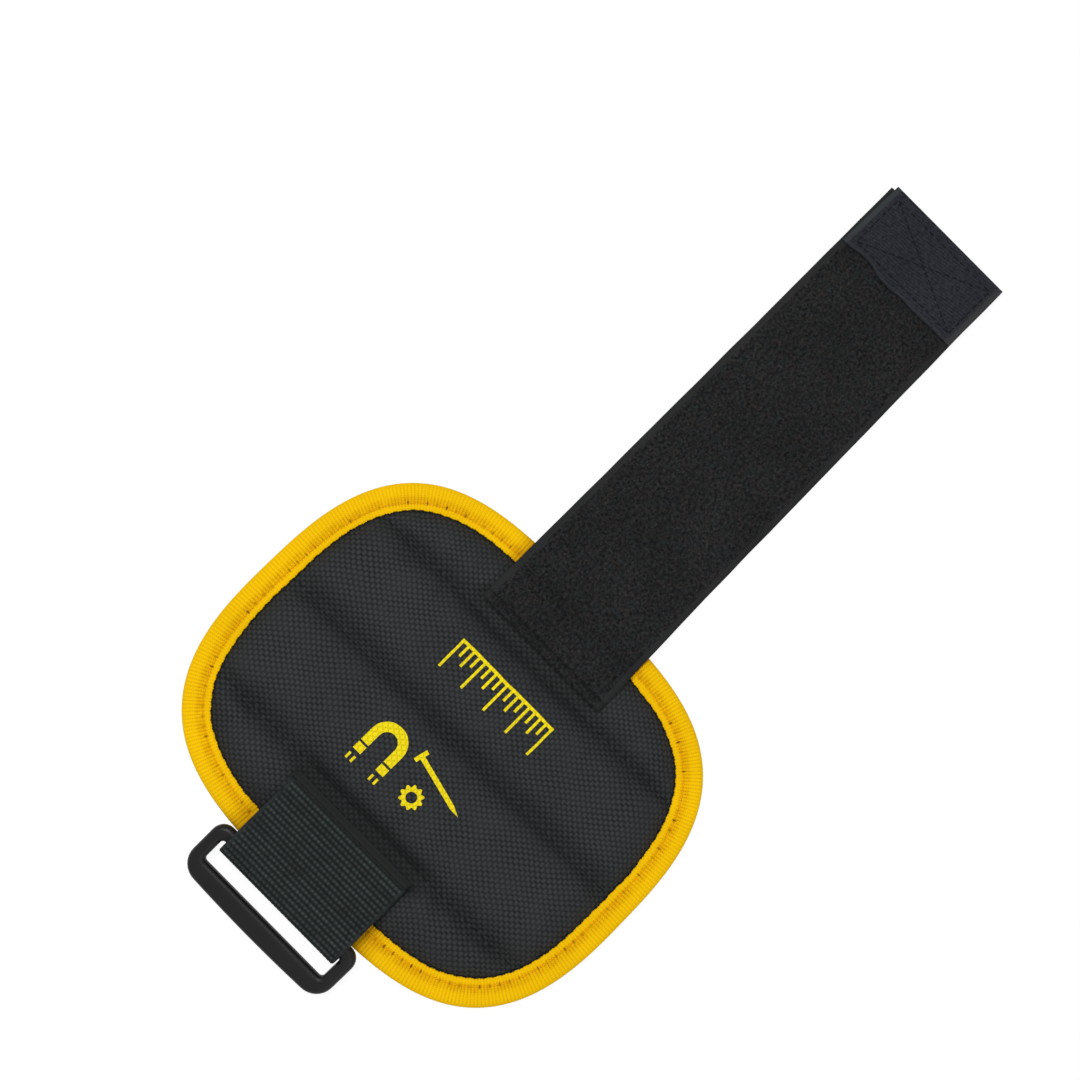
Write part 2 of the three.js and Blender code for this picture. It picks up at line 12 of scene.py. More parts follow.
import bmesh
import bpy
import numpy as np
from bpy.props import FloatProperty, FloatVectorProperty, PointerProperty
from mathutils import Euler, Matrix, Vector
from mathutils.kdtree import KDTree
from mathutils.noise import noise
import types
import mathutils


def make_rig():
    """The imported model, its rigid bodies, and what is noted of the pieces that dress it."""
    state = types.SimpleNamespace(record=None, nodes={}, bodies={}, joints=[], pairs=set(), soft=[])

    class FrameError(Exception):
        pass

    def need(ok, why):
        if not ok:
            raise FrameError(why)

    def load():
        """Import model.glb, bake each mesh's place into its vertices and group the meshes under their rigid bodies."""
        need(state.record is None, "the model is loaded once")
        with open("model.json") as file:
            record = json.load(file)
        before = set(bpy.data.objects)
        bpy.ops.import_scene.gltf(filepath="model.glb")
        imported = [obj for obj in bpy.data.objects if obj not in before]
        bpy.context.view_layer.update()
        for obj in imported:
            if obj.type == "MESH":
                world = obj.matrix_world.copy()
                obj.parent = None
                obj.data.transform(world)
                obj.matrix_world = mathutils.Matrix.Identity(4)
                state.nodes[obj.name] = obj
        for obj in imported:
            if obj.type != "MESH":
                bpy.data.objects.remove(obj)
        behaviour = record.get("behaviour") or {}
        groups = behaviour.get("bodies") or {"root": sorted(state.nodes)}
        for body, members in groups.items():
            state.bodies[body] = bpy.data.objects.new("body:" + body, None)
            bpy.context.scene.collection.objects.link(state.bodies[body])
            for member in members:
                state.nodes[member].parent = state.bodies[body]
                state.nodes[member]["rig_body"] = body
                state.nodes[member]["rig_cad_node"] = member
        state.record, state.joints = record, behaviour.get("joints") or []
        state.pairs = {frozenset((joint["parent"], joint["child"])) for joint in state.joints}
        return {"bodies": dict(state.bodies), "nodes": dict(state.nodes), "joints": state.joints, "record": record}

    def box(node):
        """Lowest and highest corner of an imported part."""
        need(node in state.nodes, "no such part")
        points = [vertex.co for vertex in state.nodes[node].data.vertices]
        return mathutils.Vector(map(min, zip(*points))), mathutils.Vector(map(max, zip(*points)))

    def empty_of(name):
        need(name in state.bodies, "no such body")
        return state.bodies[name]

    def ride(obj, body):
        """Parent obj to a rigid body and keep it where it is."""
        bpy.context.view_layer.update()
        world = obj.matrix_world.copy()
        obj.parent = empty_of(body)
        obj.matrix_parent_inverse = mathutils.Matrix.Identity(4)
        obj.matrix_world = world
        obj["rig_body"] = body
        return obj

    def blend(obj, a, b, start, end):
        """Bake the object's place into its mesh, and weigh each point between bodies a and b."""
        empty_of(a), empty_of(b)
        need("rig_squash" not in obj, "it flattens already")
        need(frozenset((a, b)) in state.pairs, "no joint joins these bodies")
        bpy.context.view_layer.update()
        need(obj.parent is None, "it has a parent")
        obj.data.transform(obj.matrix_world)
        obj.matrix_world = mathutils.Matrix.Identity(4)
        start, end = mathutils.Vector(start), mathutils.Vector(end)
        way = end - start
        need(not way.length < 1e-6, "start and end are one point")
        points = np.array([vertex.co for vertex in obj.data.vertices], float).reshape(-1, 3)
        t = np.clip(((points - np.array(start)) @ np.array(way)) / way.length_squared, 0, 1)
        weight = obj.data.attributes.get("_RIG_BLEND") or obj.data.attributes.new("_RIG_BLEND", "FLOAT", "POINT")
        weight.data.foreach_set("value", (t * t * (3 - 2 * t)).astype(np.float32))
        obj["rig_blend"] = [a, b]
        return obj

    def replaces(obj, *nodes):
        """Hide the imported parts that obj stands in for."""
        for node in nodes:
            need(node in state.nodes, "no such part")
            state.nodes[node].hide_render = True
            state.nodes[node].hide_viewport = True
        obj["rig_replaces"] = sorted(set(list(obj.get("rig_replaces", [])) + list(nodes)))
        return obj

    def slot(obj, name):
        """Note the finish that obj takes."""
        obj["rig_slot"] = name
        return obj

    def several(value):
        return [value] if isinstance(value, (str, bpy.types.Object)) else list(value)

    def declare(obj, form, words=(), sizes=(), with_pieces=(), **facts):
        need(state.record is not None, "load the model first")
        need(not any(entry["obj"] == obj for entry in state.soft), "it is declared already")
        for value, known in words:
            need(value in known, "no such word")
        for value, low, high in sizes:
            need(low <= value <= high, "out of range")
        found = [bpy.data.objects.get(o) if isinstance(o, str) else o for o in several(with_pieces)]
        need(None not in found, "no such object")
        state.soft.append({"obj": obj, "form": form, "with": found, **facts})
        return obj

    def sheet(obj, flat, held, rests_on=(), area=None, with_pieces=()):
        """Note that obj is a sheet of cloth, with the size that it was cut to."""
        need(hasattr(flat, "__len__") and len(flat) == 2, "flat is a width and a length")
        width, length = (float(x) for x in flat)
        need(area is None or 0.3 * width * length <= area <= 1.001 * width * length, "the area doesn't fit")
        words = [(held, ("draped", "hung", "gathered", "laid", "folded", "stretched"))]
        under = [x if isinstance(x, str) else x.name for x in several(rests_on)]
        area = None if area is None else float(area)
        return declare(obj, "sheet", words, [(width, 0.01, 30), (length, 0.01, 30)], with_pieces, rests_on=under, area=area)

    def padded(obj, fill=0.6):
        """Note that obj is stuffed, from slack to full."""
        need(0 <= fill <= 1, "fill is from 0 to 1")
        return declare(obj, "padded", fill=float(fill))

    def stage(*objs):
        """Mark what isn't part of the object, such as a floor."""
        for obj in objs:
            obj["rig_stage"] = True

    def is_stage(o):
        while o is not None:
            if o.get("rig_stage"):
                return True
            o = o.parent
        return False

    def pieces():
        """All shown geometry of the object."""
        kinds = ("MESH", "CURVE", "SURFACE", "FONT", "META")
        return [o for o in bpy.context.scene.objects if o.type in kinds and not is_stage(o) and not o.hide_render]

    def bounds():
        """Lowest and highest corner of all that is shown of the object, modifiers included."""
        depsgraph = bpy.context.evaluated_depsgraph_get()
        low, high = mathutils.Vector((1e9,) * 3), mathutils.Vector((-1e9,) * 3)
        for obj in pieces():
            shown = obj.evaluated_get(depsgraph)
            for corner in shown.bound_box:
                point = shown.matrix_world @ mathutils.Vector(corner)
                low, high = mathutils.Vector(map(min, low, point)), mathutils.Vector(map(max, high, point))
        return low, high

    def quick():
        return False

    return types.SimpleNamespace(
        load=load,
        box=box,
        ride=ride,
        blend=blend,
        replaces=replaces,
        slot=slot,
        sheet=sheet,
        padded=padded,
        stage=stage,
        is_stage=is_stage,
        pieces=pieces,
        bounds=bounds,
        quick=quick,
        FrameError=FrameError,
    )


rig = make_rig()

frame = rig.load()
cad_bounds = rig.bounds()

bl_info = {
    "name": "Magnetic wristband",
    "version": (1, 0, 0),
    "blender": (4, 5, 0),
    "location": "3D View > Sidebar > Wristband",
    "description": "Builds the cloth, tape, webbing and ring of a magnetic wristband",
    "category": "Object",
}

MM = 0.001

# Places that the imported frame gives
JOINTS = {joint["name"]: joint["pos_m"] for joint in frame["joints"]}
VALLEYS = [JOINTS[f"pad_fold_{k}"][0] for k in (1, 2, 3)]
PANEL_MIDDLES = [(a + b) / 2 for a, b in zip(VALLEYS, VALLEYS[1:])]
STRAP_BENDS = [JOINTS[f"strap_bend_{k}"][0] for k in range(1, 6)]
RING_AXIS = Vector((JOINTS["ring_swivel"][0], 0, JOINTS["ring_swivel"][2]))
PAD_LOW_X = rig.box("binding_tape_1")[0].x
PAD_HIGH_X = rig.box("binding_tape_4")[1].x
PAD_X = (PAD_LOW_X + PAD_HIGH_X) / 2
HALF_LENGTH = (PAD_HIGH_X - PAD_LOW_X) / 2
HALF_WIDTH = max(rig.box(f"binding_tape_2_{side}")[1].y for side in ("left", "right"))
STRAP_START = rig.box("strap_root")[0].x
STRAP_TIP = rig.box("strap_tip")[1].x
HOOK_LOW, HOOK_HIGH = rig.box("hook_patch")
TAB_LOW, TAB_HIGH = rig.box("webbing_tab")
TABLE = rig.box("ring")[0].z

# Powers of the pad's rounded outline, toward its ends and toward its sides
END_POWER, SIDE_POWER = 2.78, 3.54

# Layers of the pad and the room between them, as in the solids
LAYER_GAP = 0.3 * MM
TAPE_THICKNESS = 0.8 * MM
LINING_BASE = 1.1 * MM
LINING_THICKNESS = 0.7 * MM
COVER_EDGE = 2.9 * MM
EDGE_THICKNESS = 4.0 * MM
WEBBING_THICKNESS = 1.2 * MM
STRAP_HALF_THICKNESS = 1.0 * MM

# The bar of the ring: its height, the rounding of its edges, and its room in the tab
RING_THICKNESS = 4 * MM
BAR_CORNER = (0.4 * MM, 0.1 * MM)
BAR_ROUND = 1.9 * MM
BAR_ROOM = 0.35 * MM

# Details shared by a shape and its finish
CROSS_YARNS = 1.23
TAB_HALF = 24.3 * MM
PATCH_HALF = 24.8 * MM
PATCH_SIDE = 23.9 * MM
PATCH_SKEW = 0.5 * MM
PATCH_SEAM = 3.2 * MM
PATCH_OVERHANG = 0.35 * MM
SEWN_HEM = 2.6 * MM
STITCH_INSET = 2.3 * MM
WEBBING_BEAD = 1.4 * MM

# The cloth solver works best at about a metre; its swelling is kept below this
CLOTH_SCALE = 10.0
MOST_SWELL = 0.9 * MM
SWELL_FRAMES = 20

# The tab is sewn on, and the ring lies in it, a little off the middle
TAB_SHIFT = 1.2 * MM
RING_SHIFT = 1.5 * MM

# The pad's cover, lining and binding are three pieces each, cut at the middle panels
PAD_PARTS = ("ring_end", "middle", "strap_end")

# Points closer than this are taken as one
WELD = 1e-7


# Sizes and colours


class WristbandPadSettings(bpy.types.PropertyGroup):
    """Sizes and colours of the pad, its cover and its binding"""

    binding_width: FloatProperty(
        name="Binding width", description="How far the yellow tape reaches in over the pad",
        default=8.8 * MM, min=5 * MM, max=12 * MM, unit="LENGTH",
    )
    channel_rise: FloatProperty(
        name="Channel rise", description="How high a channel puffs up above the pinched edge of the cover",
        default=5.4 * MM, min=1 * MM, max=8 * MM, unit="LENGTH",
    )
    valley_depth: FloatProperty(
        name="Valley depth", description="How deep a sewn valley is drawn into the pad",
        default=3.4 * MM, min=0, max=5 * MM, unit="LENGTH",
    )
    yarn_pitch: FloatProperty(
        name="Cover yarn pitch", description="Distance between the cover's yarns that run along the strap",
        default=1.28 * MM, min=0.3 * MM, max=3 * MM, unit="LENGTH",
    )
    rib_pitch: FloatProperty(
        name="Binding rib pitch", description="Distance between the ribs of the binding tape",
        default=1.2 * MM, min=0.6 * MM, max=3 * MM, unit="LENGTH",
    )
    stitch_pitch: FloatProperty(
        name="Stitch pitch", description="Distance between stitches along the binding",
        default=3.7 * MM, min=2 * MM, max=6 * MM, unit="LENGTH",
    )
    cover_colour: FloatVectorProperty(
        name="Cover colour", description="Colour of the woven nylon cover",
        default=(0.0215, 0.0232, 0.0243), min=0, max=1, subtype="COLOR",
    )
    binding_colour: FloatVectorProperty(
        name="Binding colour", description="Colour of the binding tape",
        default=(0.93, 0.55, 0.002), min=0, max=1, subtype="COLOR",
    )
    print_colour: FloatVectorProperty(
        name="Print colour", description="Colour of the printed scale and tool shapes",
        default=(0.90, 0.72, 0.004), min=0, max=1, subtype="COLOR",
    )


class WristbandStrapSettings(bpy.types.PropertyGroup):
    """Sizes and colours of the strap, the webbing tab and the ring"""

    strap_width: FloatProperty(
        name="Strap width", description="Width of the loop tape",
        default=50 * MM, min=20 * MM, max=60 * MM, unit="LENGTH",
    )
    selvedge: FloatProperty(
        name="Selvedge width", description="Width of the flat woven edge of the loop tape",
        default=2.3 * MM, min=1 * MM, max=5 * MM, unit="LENGTH",
    )
    webbing_rib_pitch: FloatProperty(
        name="Webbing rib pitch", description="Distance between the ribs of the webbing tab",
        default=1.65 * MM, min=0.8 * MM, max=3 * MM, unit="LENGTH",
    )
    strap_colour: FloatVectorProperty(
        name="Strap colour", description="Colour of the loop pile",
        default=(0.018, 0.0185, 0.019), min=0, max=1, subtype="COLOR",
    )
    webbing_colour: FloatVectorProperty(
        name="Webbing colour", description="Colour of the webbing tab",
        default=(0.0172, 0.0218, 0.0216), min=0, max=1, subtype="COLOR",
    )
    ring_colour: FloatVectorProperty(
        name="Ring colour", description="Colour of the moulded ring",
        default=(0.0042, 0.0044, 0.0039), min=0, max=1, subtype="COLOR",
    )
    hook_colour: FloatVectorProperty(
        name="Hook tape colour", description="Colour of the hook patch",
        default=(0.0205, 0.0215, 0.0275), min=0, max=1, subtype="COLOR",
    )


class WristbandStageSettings(bpy.types.PropertyGroup):
    """Camera and light"""

    focal_length: FloatProperty(
        name="Focal length", description="Focal length of the camera in millimetres",
        default=63.5, min=20, max=200,
    )
    key_strength: FloatProperty(
        name="Key light", description="Power of the large soft light over the pad",
        default=7.5, min=0, max=100, subtype="POWER",
    )


def pad_settings():
    return bpy.context.scene.wristband_pad


def strap_settings():
    return bpy.context.scene.wristband_strap


def stage_settings():
    return bpy.context.scene.wristband_stage


# Outline and surfaces of the pad


def clamped(value):
    return min(1.0, max(0.0, value))


def eased(value):
    """Rises softly from 0 to 1 as the value does."""
    share = clamped(value)
    return share * share * (3 - 2 * share)


def bell(distance, width):
    """1 at no distance, falling off evenly on both sides."""
    return math.exp(-((distance / width) ** 2))


def outline_point(angle, inset=0.0):
    """A point of the pad's outline, drawn in along its normal, about the pad's own middle."""
    across, up = abs(math.cos(angle)), abs(math.sin(angle))
    reach = 1.0
    for _ in range(10):
        u, v = (across * reach) ** END_POWER, (up * reach) ** SIDE_POWER
        reach -= (u + v - 1) * reach / (END_POWER * u + SIDE_POWER * v)
    u, v = across * reach, up * reach
    slope_x = END_POWER * u ** (END_POWER - 1) / HALF_LENGTH
    slope_y = SIDE_POWER * v ** (SIDE_POWER - 1) / HALF_WIDTH
    slope = Vector((slope_x, slope_y)).normalized()
    x = HALF_LENGTH * u - inset * slope.x
    y = HALF_WIDTH * v - inset * slope.y
    return Vector((math.copysign(x, math.cos(angle)), math.copysign(y, math.sin(angle))))


def outline_table(count=1440):
    """Points, inward directions and distances along the outline, once round."""
    angles = [2 * math.pi * k / count for k in range(count + 1)]
    points = np.array([outline_point(a) for a in angles])
    inner = np.array([outline_point(a, 1 * MM) for a in angles])
    inward = (inner - points) / MM
    steps = np.hypot(*(points[1:] - points[:-1]).T)
    return points, inward, np.concatenate([[0], np.cumsum(steps)])


OUTLINE_POINTS, OUTLINE_INWARD, OUTLINE_RUN = outline_table()
PERIMETER = float(OUTLINE_RUN[-1])


@functools.lru_cache(maxsize=None)
def along_outline(run):
    """Point and inward direction at a distance along the outline."""
    run = run % PERIMETER
    point = [np.interp(run, OUTLINE_RUN, OUTLINE_POINTS[:, k]) for k in (0, 1)]
    inward = [np.interp(run, OUTLINE_RUN, OUTLINE_INWARD[:, k]) for k in (0, 1)]
    return Vector(point), Vector(inward).normalized()


def edge_distance_table(step=1 * MM):
    """How far each point of a lattice over one quarter of the pad lies inside the outline."""
    xs = np.arange(0, HALF_LENGTH + 2 * step, step)
    ys = np.arange(0, HALF_WIDTH + 2 * step, step)
    p = np.stack(np.meshgrid(xs, ys, indexing="ij"), -1)[:, :, None, :]
    a, b = OUTLINE_POINTS[:-1:4], OUTLINE_POINTS[4::4]
    d = b - a
    share = np.clip(((p - a) * d).sum(-1) / (d * d).sum(-1), 0, 1)
    away = p - a - d * share[..., None]
    return np.sqrt((away**2).sum(-1).min(-1)).tolist(), step


EDGE_TABLE, EDGE_STEP = edge_distance_table()


def edge_distance(x, y):
    """How far a point of the pad lies inside its outline, about the pad's own middle."""
    u = min(abs(x) / EDGE_STEP, len(EDGE_TABLE) - 1.001)
    v = min(abs(y) / EDGE_STEP, len(EDGE_TABLE[0]) - 1.001)
    i, j = int(u), int(v)
    u, v = u - i, v - j
    near = EDGE_TABLE[i][j] * (1 - v) + EDGE_TABLE[i][j + 1] * v
    far = EDGE_TABLE[i + 1][j] * (1 - v) + EDGE_TABLE[i + 1][j + 1] * v
    return near * (1 - u) + far * u


def past_binding(x, y):
    """How far a place of the pad, x in the frame, lies inside the edge of the binding."""
    return edge_distance(x - PAD_X, y) - (pad_settings().binding_width + LAYER_GAP)


def valley_share(x, reach, power, floor=1.2 * MM, y=1.0):
    """1 in a sewn valley, falling to 0 at its reach on either side, with a rounded floor."""
    tape_half, fading, set_back = 30 * MM, 6 * MM, VALLEYS[0] - TAB_HIGH.x
    nearest = min(abs(x - place) for place in VALLEYS)
    held = clamped((tape_half - abs(y)) / fading)
    if held and not VALLEYS[0] < x < VALLEYS[2]:
        nearest -= 0.6 * held * min(nearest, set_back)
    nearest = math.hypot(nearest, floor) - floor
    return max(0.0, 1 - nearest / reach) ** power


def cover_height(x, y):
    """Height of the cover's outer face, x in the frame."""
    pad = pad_settings()
    puff_reach, valley_reach, valley_floor = 11 * MM, 6.5 * MM, 0.8 * MM
    inward = clamped(past_binding(x, y) / puff_reach)
    puff = (1 - (1 - inward) ** 2) ** 0.75
    drawn = pad.valley_depth * valley_share(x, valley_reach, 1.6, valley_floor, y)
    return COVER_EDGE + puff * (pad.channel_rise - drawn)


def lining_height(x, y):
    """Height of the lining's outer face, x in the frame."""
    settling, valley_reach, valley_rise = 6 * MM, 5 * MM, 0.5 * MM
    lift = LINING_BASE * eased(1 - past_binding(x, y) / settling)
    return max(lift, valley_rise * valley_share(x, valley_reach, 1))


# Mesh helpers

# The pad's grid has rings that lie close at its edge: shares of the way in, and insets in mm
GRID_SHARES = (0.0, 0.035, 0.07, 0.1, 0.12, 0.14, 0.16, 0.19, 0.23, 0.28, 0.34, 0.42)
GRID_INSETS = (5.6, 7.2, 8.5, 9.1, 9.35, 9.7, 10.15, 10.9, 12.2, 14.2, 17.0, 21.0)


def square_to_disc(s, t):
    """Angle and reach of a place in a square from two shares, the reach 1 all along its edge."""
    a, b = 2 * s - 1, 2 * t - 1
    reach = max(abs(a), abs(b))
    return (math.atan2(b, a) if reach else 0.0), reach


def pad_point(s, t):
    """A point of the pad from two shares, in rings that follow the outline near the edge."""
    angle, reach = square_to_disc(s, t)
    inset = float(np.interp(1 - reach, GRID_SHARES, GRID_INSETS)) * MM
    edge = outline_point(angle, inset)
    if 1 - reach > GRID_SHARES[-1]:
        edge = edge * (reach / (1 - GRID_SHARES[-1]))
    return PAD_X + edge.x, edge.y


def cloth_grid(columns, rows, place):
    """A grid of cloth whose points are laid by place(s, t), both from 0 to 1, with a UV in metres."""
    shape = bmesh.new()
    bmesh.ops.create_grid(shape, x_segments=columns, y_segments=rows, size=0.5)
    uv = shape.loops.layers.uv.new("UVMap")
    laid = {v: place(v.co.x + 0.5, v.co.y + 0.5) for v in shape.verts}
    for face in shape.faces:
        for loop in face.loops:
            loop[uv].uv = laid[loop.vert][1]
    for vert, (where, _) in laid.items():
        vert.co = where
    return shape


def extruded(shape):
    """Gives a sheet a second face and its rim, and returns the points of that face."""
    made = bmesh.ops.extrude_face_region(shape, geom=shape.faces[:])["geom"]
    return [item for item in made if isinstance(item, bmesh.types.BMVert)]


def cut_across(shape, x, near=0.0):
    whole = shape.verts[:] + shape.edges[:] + shape.faces[:]
    bmesh.ops.bisect_plane(shape, geom=whole, plane_co=(x, 0, 0), plane_no=(1, 0, 0), dist=near)


def outward(shape):
    bmesh.ops.recalc_face_normals(shape, faces=shape.faces)
    shape.normal_update()


def to_object(shape, name, material, smooth=True):
    mesh = bpy.data.meshes.new(name)
    shape.to_mesh(mesh)
    shape.free()
    piece = bpy.data.objects.new(name, mesh)
    bpy.context.scene.collection.objects.link(piece)
    mesh.materials.append(material)
    if smooth:
        mesh.shade_smooth()
    return piece


def apply_modifiers(piece):
    """Replaces a piece's mesh by what its modifiers make of it."""
    graph = bpy.context.evaluated_depsgraph_get()
    made = bpy.data.meshes.new_from_object(piece.evaluated_get(graph))
    piece.modifiers.clear()
    piece.data = made


def split_at(whole, cuts, names):
    """Cuts one piece across X into several that meet exactly and are shaded as one."""
    shape = bmesh.new()
    shape.from_mesh(whole.data)
    for cut in cuts:
        cut_across(shape, cut, WELD)
    shape.normal_update()
    material = whole.data.materials[0]
    shape.verts.index_update()
    normals = [v.normal.copy() for v in shape.verts]
    source = shape.verts.layers.int.new("source")
    for vert in shape.verts:
        vert[source] = vert.index
    pieces = []
    borders = [-math.inf, *cuts, math.inf]
    for name, low, high in zip(names, borders, borders[1:]):
        part = shape.copy()
        outside = [f for f in part.faces if not low < f.calc_center_median().x < high]
        bmesh.ops.delete(part, geom=outside, context="FACES")
        open_edges = [e for e in part.edges if e.is_boundary]
        before = set(part.faces)
        if open_edges:
            bmesh.ops.holes_fill(part, edges=open_edges, sides=0)
        caps = [f for f in part.faces if f not in before]
        layer = part.verts.layers.int["source"]
        part.verts.index_update()
        part.faces.index_update()
        flat = {f.index for f in caps}
        order = [v[layer] for v in part.verts]
        piece = to_object(part, name, material, smooth=False)
        custom = []
        for face in piece.data.polygons:
            face.use_smooth = face.index not in flat
            for k in face.loop_indices:
                at = piece.data.loops[k].vertex_index
                custom.append(face.normal if face.index in flat else normals[order[at]])
        piece.data.normals_split_custom_set(custom)
        piece.data.attributes.remove(piece.data.attributes["source"])
        pieces.append(piece)
    shape.free()
    bpy.data.objects.remove(whole)
    return pieces


def bend_over(piece, fixed, moving, low, high):
    """Blends a piece between two bodies along X."""
    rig.blend(piece, fixed, moving, start=(low, 0, 0), end=(high, 0, 0))


def bend_pad_pieces(pieces):
    narrow, wide = 5 * MM, 7 * MM
    bend_over(pieces[0], "panel_2", "panel_1", VALLEYS[0] + narrow, VALLEYS[0] - narrow)
    bend_over(pieces[1], "panel_2", "panel_3", VALLEYS[1] - wide, VALLEYS[1] + wide)
    bend_over(pieces[2], "panel_3", "panel_4", VALLEYS[2] - narrow, VALLEYS[2] + narrow)


def add_thread(shape, start, end, lift, radius):
    """One stitch: a rounded thread from start to end that arches over the cloth."""
    dip = 0.55
    made = bmesh.ops.create_uvsphere(shape, u_segments=6, v_segments=7, radius=1.0)["verts"]
    run = Vector(end) - Vector(start)
    side = run.cross(Vector((0, 0, 1))).normalized()
    up = side.cross(run).normalized()
    for vert in made:
        x, y, z = vert.co
        wide = radius * (1 - z**4) ** 0.5 / max(1e-6, math.hypot(x, y))
        arch = lift * ((1 - z * z) ** 0.5 - dip) if abs(z) < 1 else -dip * lift
        vert.co = Vector(start) + run * (z + 1) / 2 + side * x * wide + up * (y * wide + arch)


def stitch_row(shape, start, end, height, pitch, radius=0.22 * MM, lift=0.25 * MM):
    """A straight row of stitches from one place to another, lying at height(x, y)."""
    start, end = Vector(start), Vector(end)
    count = max(1, round((end - start).length / pitch))
    for k in range(count):
        ends = [start.lerp(end, (k + share) / count) for share in (0.12, 0.88)]
        add_thread(shape, *[(p.x, p.y, height(p.x, p.y)) for p in ends], lift, radius)


# Materials


class Output:
    """What a node puts out. Arithmetic on it adds math nodes to its tree."""

    def __init__(self, tree, socket):
        self.tree, self.socket = tree, socket

    def calculated(self, operation, *others):
        return calculate(self.tree, operation, self, *others)

    def __add__(self, other):
        return self.calculated("ADD", other)

    def __sub__(self, other):
        return self.calculated("SUBTRACT", other)

    def __rsub__(self, other):
        return calculate(self.tree, "SUBTRACT", other, self)

    def __mul__(self, other):
        return self.calculated("MULTIPLY", other)

    def __truediv__(self, other):
        return self.calculated("DIVIDE", other)

    def __rtruediv__(self, other):
        return calculate(self.tree, "DIVIDE", other, self)

    def __abs__(self):
        return self.calculated("ABSOLUTE")

    def __round__(self):
        return self.calculated("ROUND")

    def __floor__(self):
        return self.calculated("FLOOR")

    def larger(self, other):
        return self.calculated("MAXIMUM", other)

    def length_with(self, other):
        return (self * self + other * other).calculated("SQRT")


def feed(tree, socket, value):
    """Gives a socket a plain value, or what another node puts out."""
    if isinstance(value, Output):
        tree.links.new(value.socket, socket)
    elif value is not None:
        socket.default_value = value


def calculate(tree, operation, *values):
    node = tree.nodes.new("ShaderNodeMath")
    node.operation = operation
    for socket, value in zip(node.inputs, values):
        feed(tree, socket, value)
    return Output(tree, node.outputs[0])


class Nodes:
    """Short way to add and join the nodes of one tree."""

    def __init__(self, tree):
        self.tree = tree

    def feed(self, socket, value):
        feed(self.tree, socket, value)

    def add(self, kind, settings=None, **inputs):
        """A node and its outputs, with its settings, and its inputs by name."""
        node = self.tree.nodes.new(kind)
        for key, value in (settings or {}).items():
            setattr(node, key, value)
        for key, value in inputs.items():
            self.feed(node.inputs[key.replace("_", " ")], value)
        return node, {socket.name: Output(self.tree, socket) for socket in node.outputs}

    def mix(self, share, a, b):
        node = self.tree.nodes.new("ShaderNodeMix")
        node.data_type = "RGBA"
        for key, value in (("Factor", share), ("A", a), ("B", b)):
            self.feed(node.inputs[key], value)
        return Output(self.tree, node.outputs["Result"])

    def ramp(self, value, low, high, to_low=0.0, to_high=1.0, smooth=False):
        node, _ = self.add("ShaderNodeMapRange")
        node.interpolation_type = "SMOOTHSTEP" if smooth else "LINEAR"
        for socket, item in zip(node.inputs, (value, low, high, to_low, to_high)):
            self.feed(socket, item)
        return Output(self.tree, node.outputs[0])

    def fade(self, value, inner, outer, most=1.0):
        """Full up to one distance, nothing past another."""
        return self.ramp(value, inner, outer, most, 0.0, smooth=True)

    def wave(self, value, pitch):
        """1 on every crest and 0 in every trough of a ripple with this pitch."""
        return (value * (2 * math.pi / pitch)).calculated("COSINE") * 0.5 + 0.5

    def shaded(self, colour, value):
        return self.add("ShaderNodeHueSaturation", Color=colour, Value=value)[1]["Color"]

    def split(self, vector):
        _, parts = self.add("ShaderNodeSeparateXYZ", Vector=vector)
        return parts["X"], parts["Y"]

    def place(self, x, y):
        return self.add("ShaderNodeCombineXYZ", X=x, Y=y)[1]["Vector"]

    def vector_math(self, operation, *vectors):
        node, outputs = self.add("ShaderNodeVectorMath", {"operation": operation})
        for socket, item in zip(node.inputs, vectors):
            self.feed(socket, item)
        return outputs["Vector"]

    def noise(self, vector, size, detail=2.0, roughness=0.5, output="Fac"):
        """Noise whose blotches are about this size in metres."""
        inputs = {"Scale": 1 / size, "Detail": detail, "Roughness": roughness}
        return self.add("ShaderNodeTexNoise", Vector=vector, **inputs)[1][output]

    def wander(self, vector, size, reach):
        """The same place moved about a little, slowly over the cloth."""
        drift = self.noise(vector, size, 1.0, output="Color")
        return self.vector_math("MULTIPLY_ADD", drift, (reach, reach, 0), vector)

    def chance(self, **place):
        """A number from 0 to 1 that is another for each value, or for each place."""
        settings = {"noise_dimensions": "1D" if "W" in place else "2D"}
        return self.add("ShaderNodeTexWhiteNoise", settings, **place)[1]["Value"]

    def use(self, build, **inputs):
        """The outputs of a shader group, which is built on its first use."""
        group = bpy.data.node_groups.get(build.__name__) or build(build.__name__)
        return self.add("ShaderNodeGroup", {"node_tree": group}, **inputs)[1]


def new_group(name, sizes, outputs):
    """An empty group with a vector and these sizes as inputs, and these numbers as outputs."""
    group = bpy.data.node_groups.new(name, "ShaderNodeTree")
    group.interface.new_socket(name="Vector", in_out="INPUT", socket_type="NodeSocketVector")
    for label, value in sizes.items():
        socket = group.interface.new_socket(name=label, in_out="INPUT", socket_type="NodeSocketFloat")
        socket.default_value = value
    for label in outputs:
        group.interface.new_socket(name=label, in_out="OUTPUT", socket_type="NodeSocketFloat")
    nodes = Nodes(group)
    _, start = nodes.add("NodeGroupInput")
    end, _ = nodes.add("NodeGroupOutput")
    return group, nodes, start, end.inputs


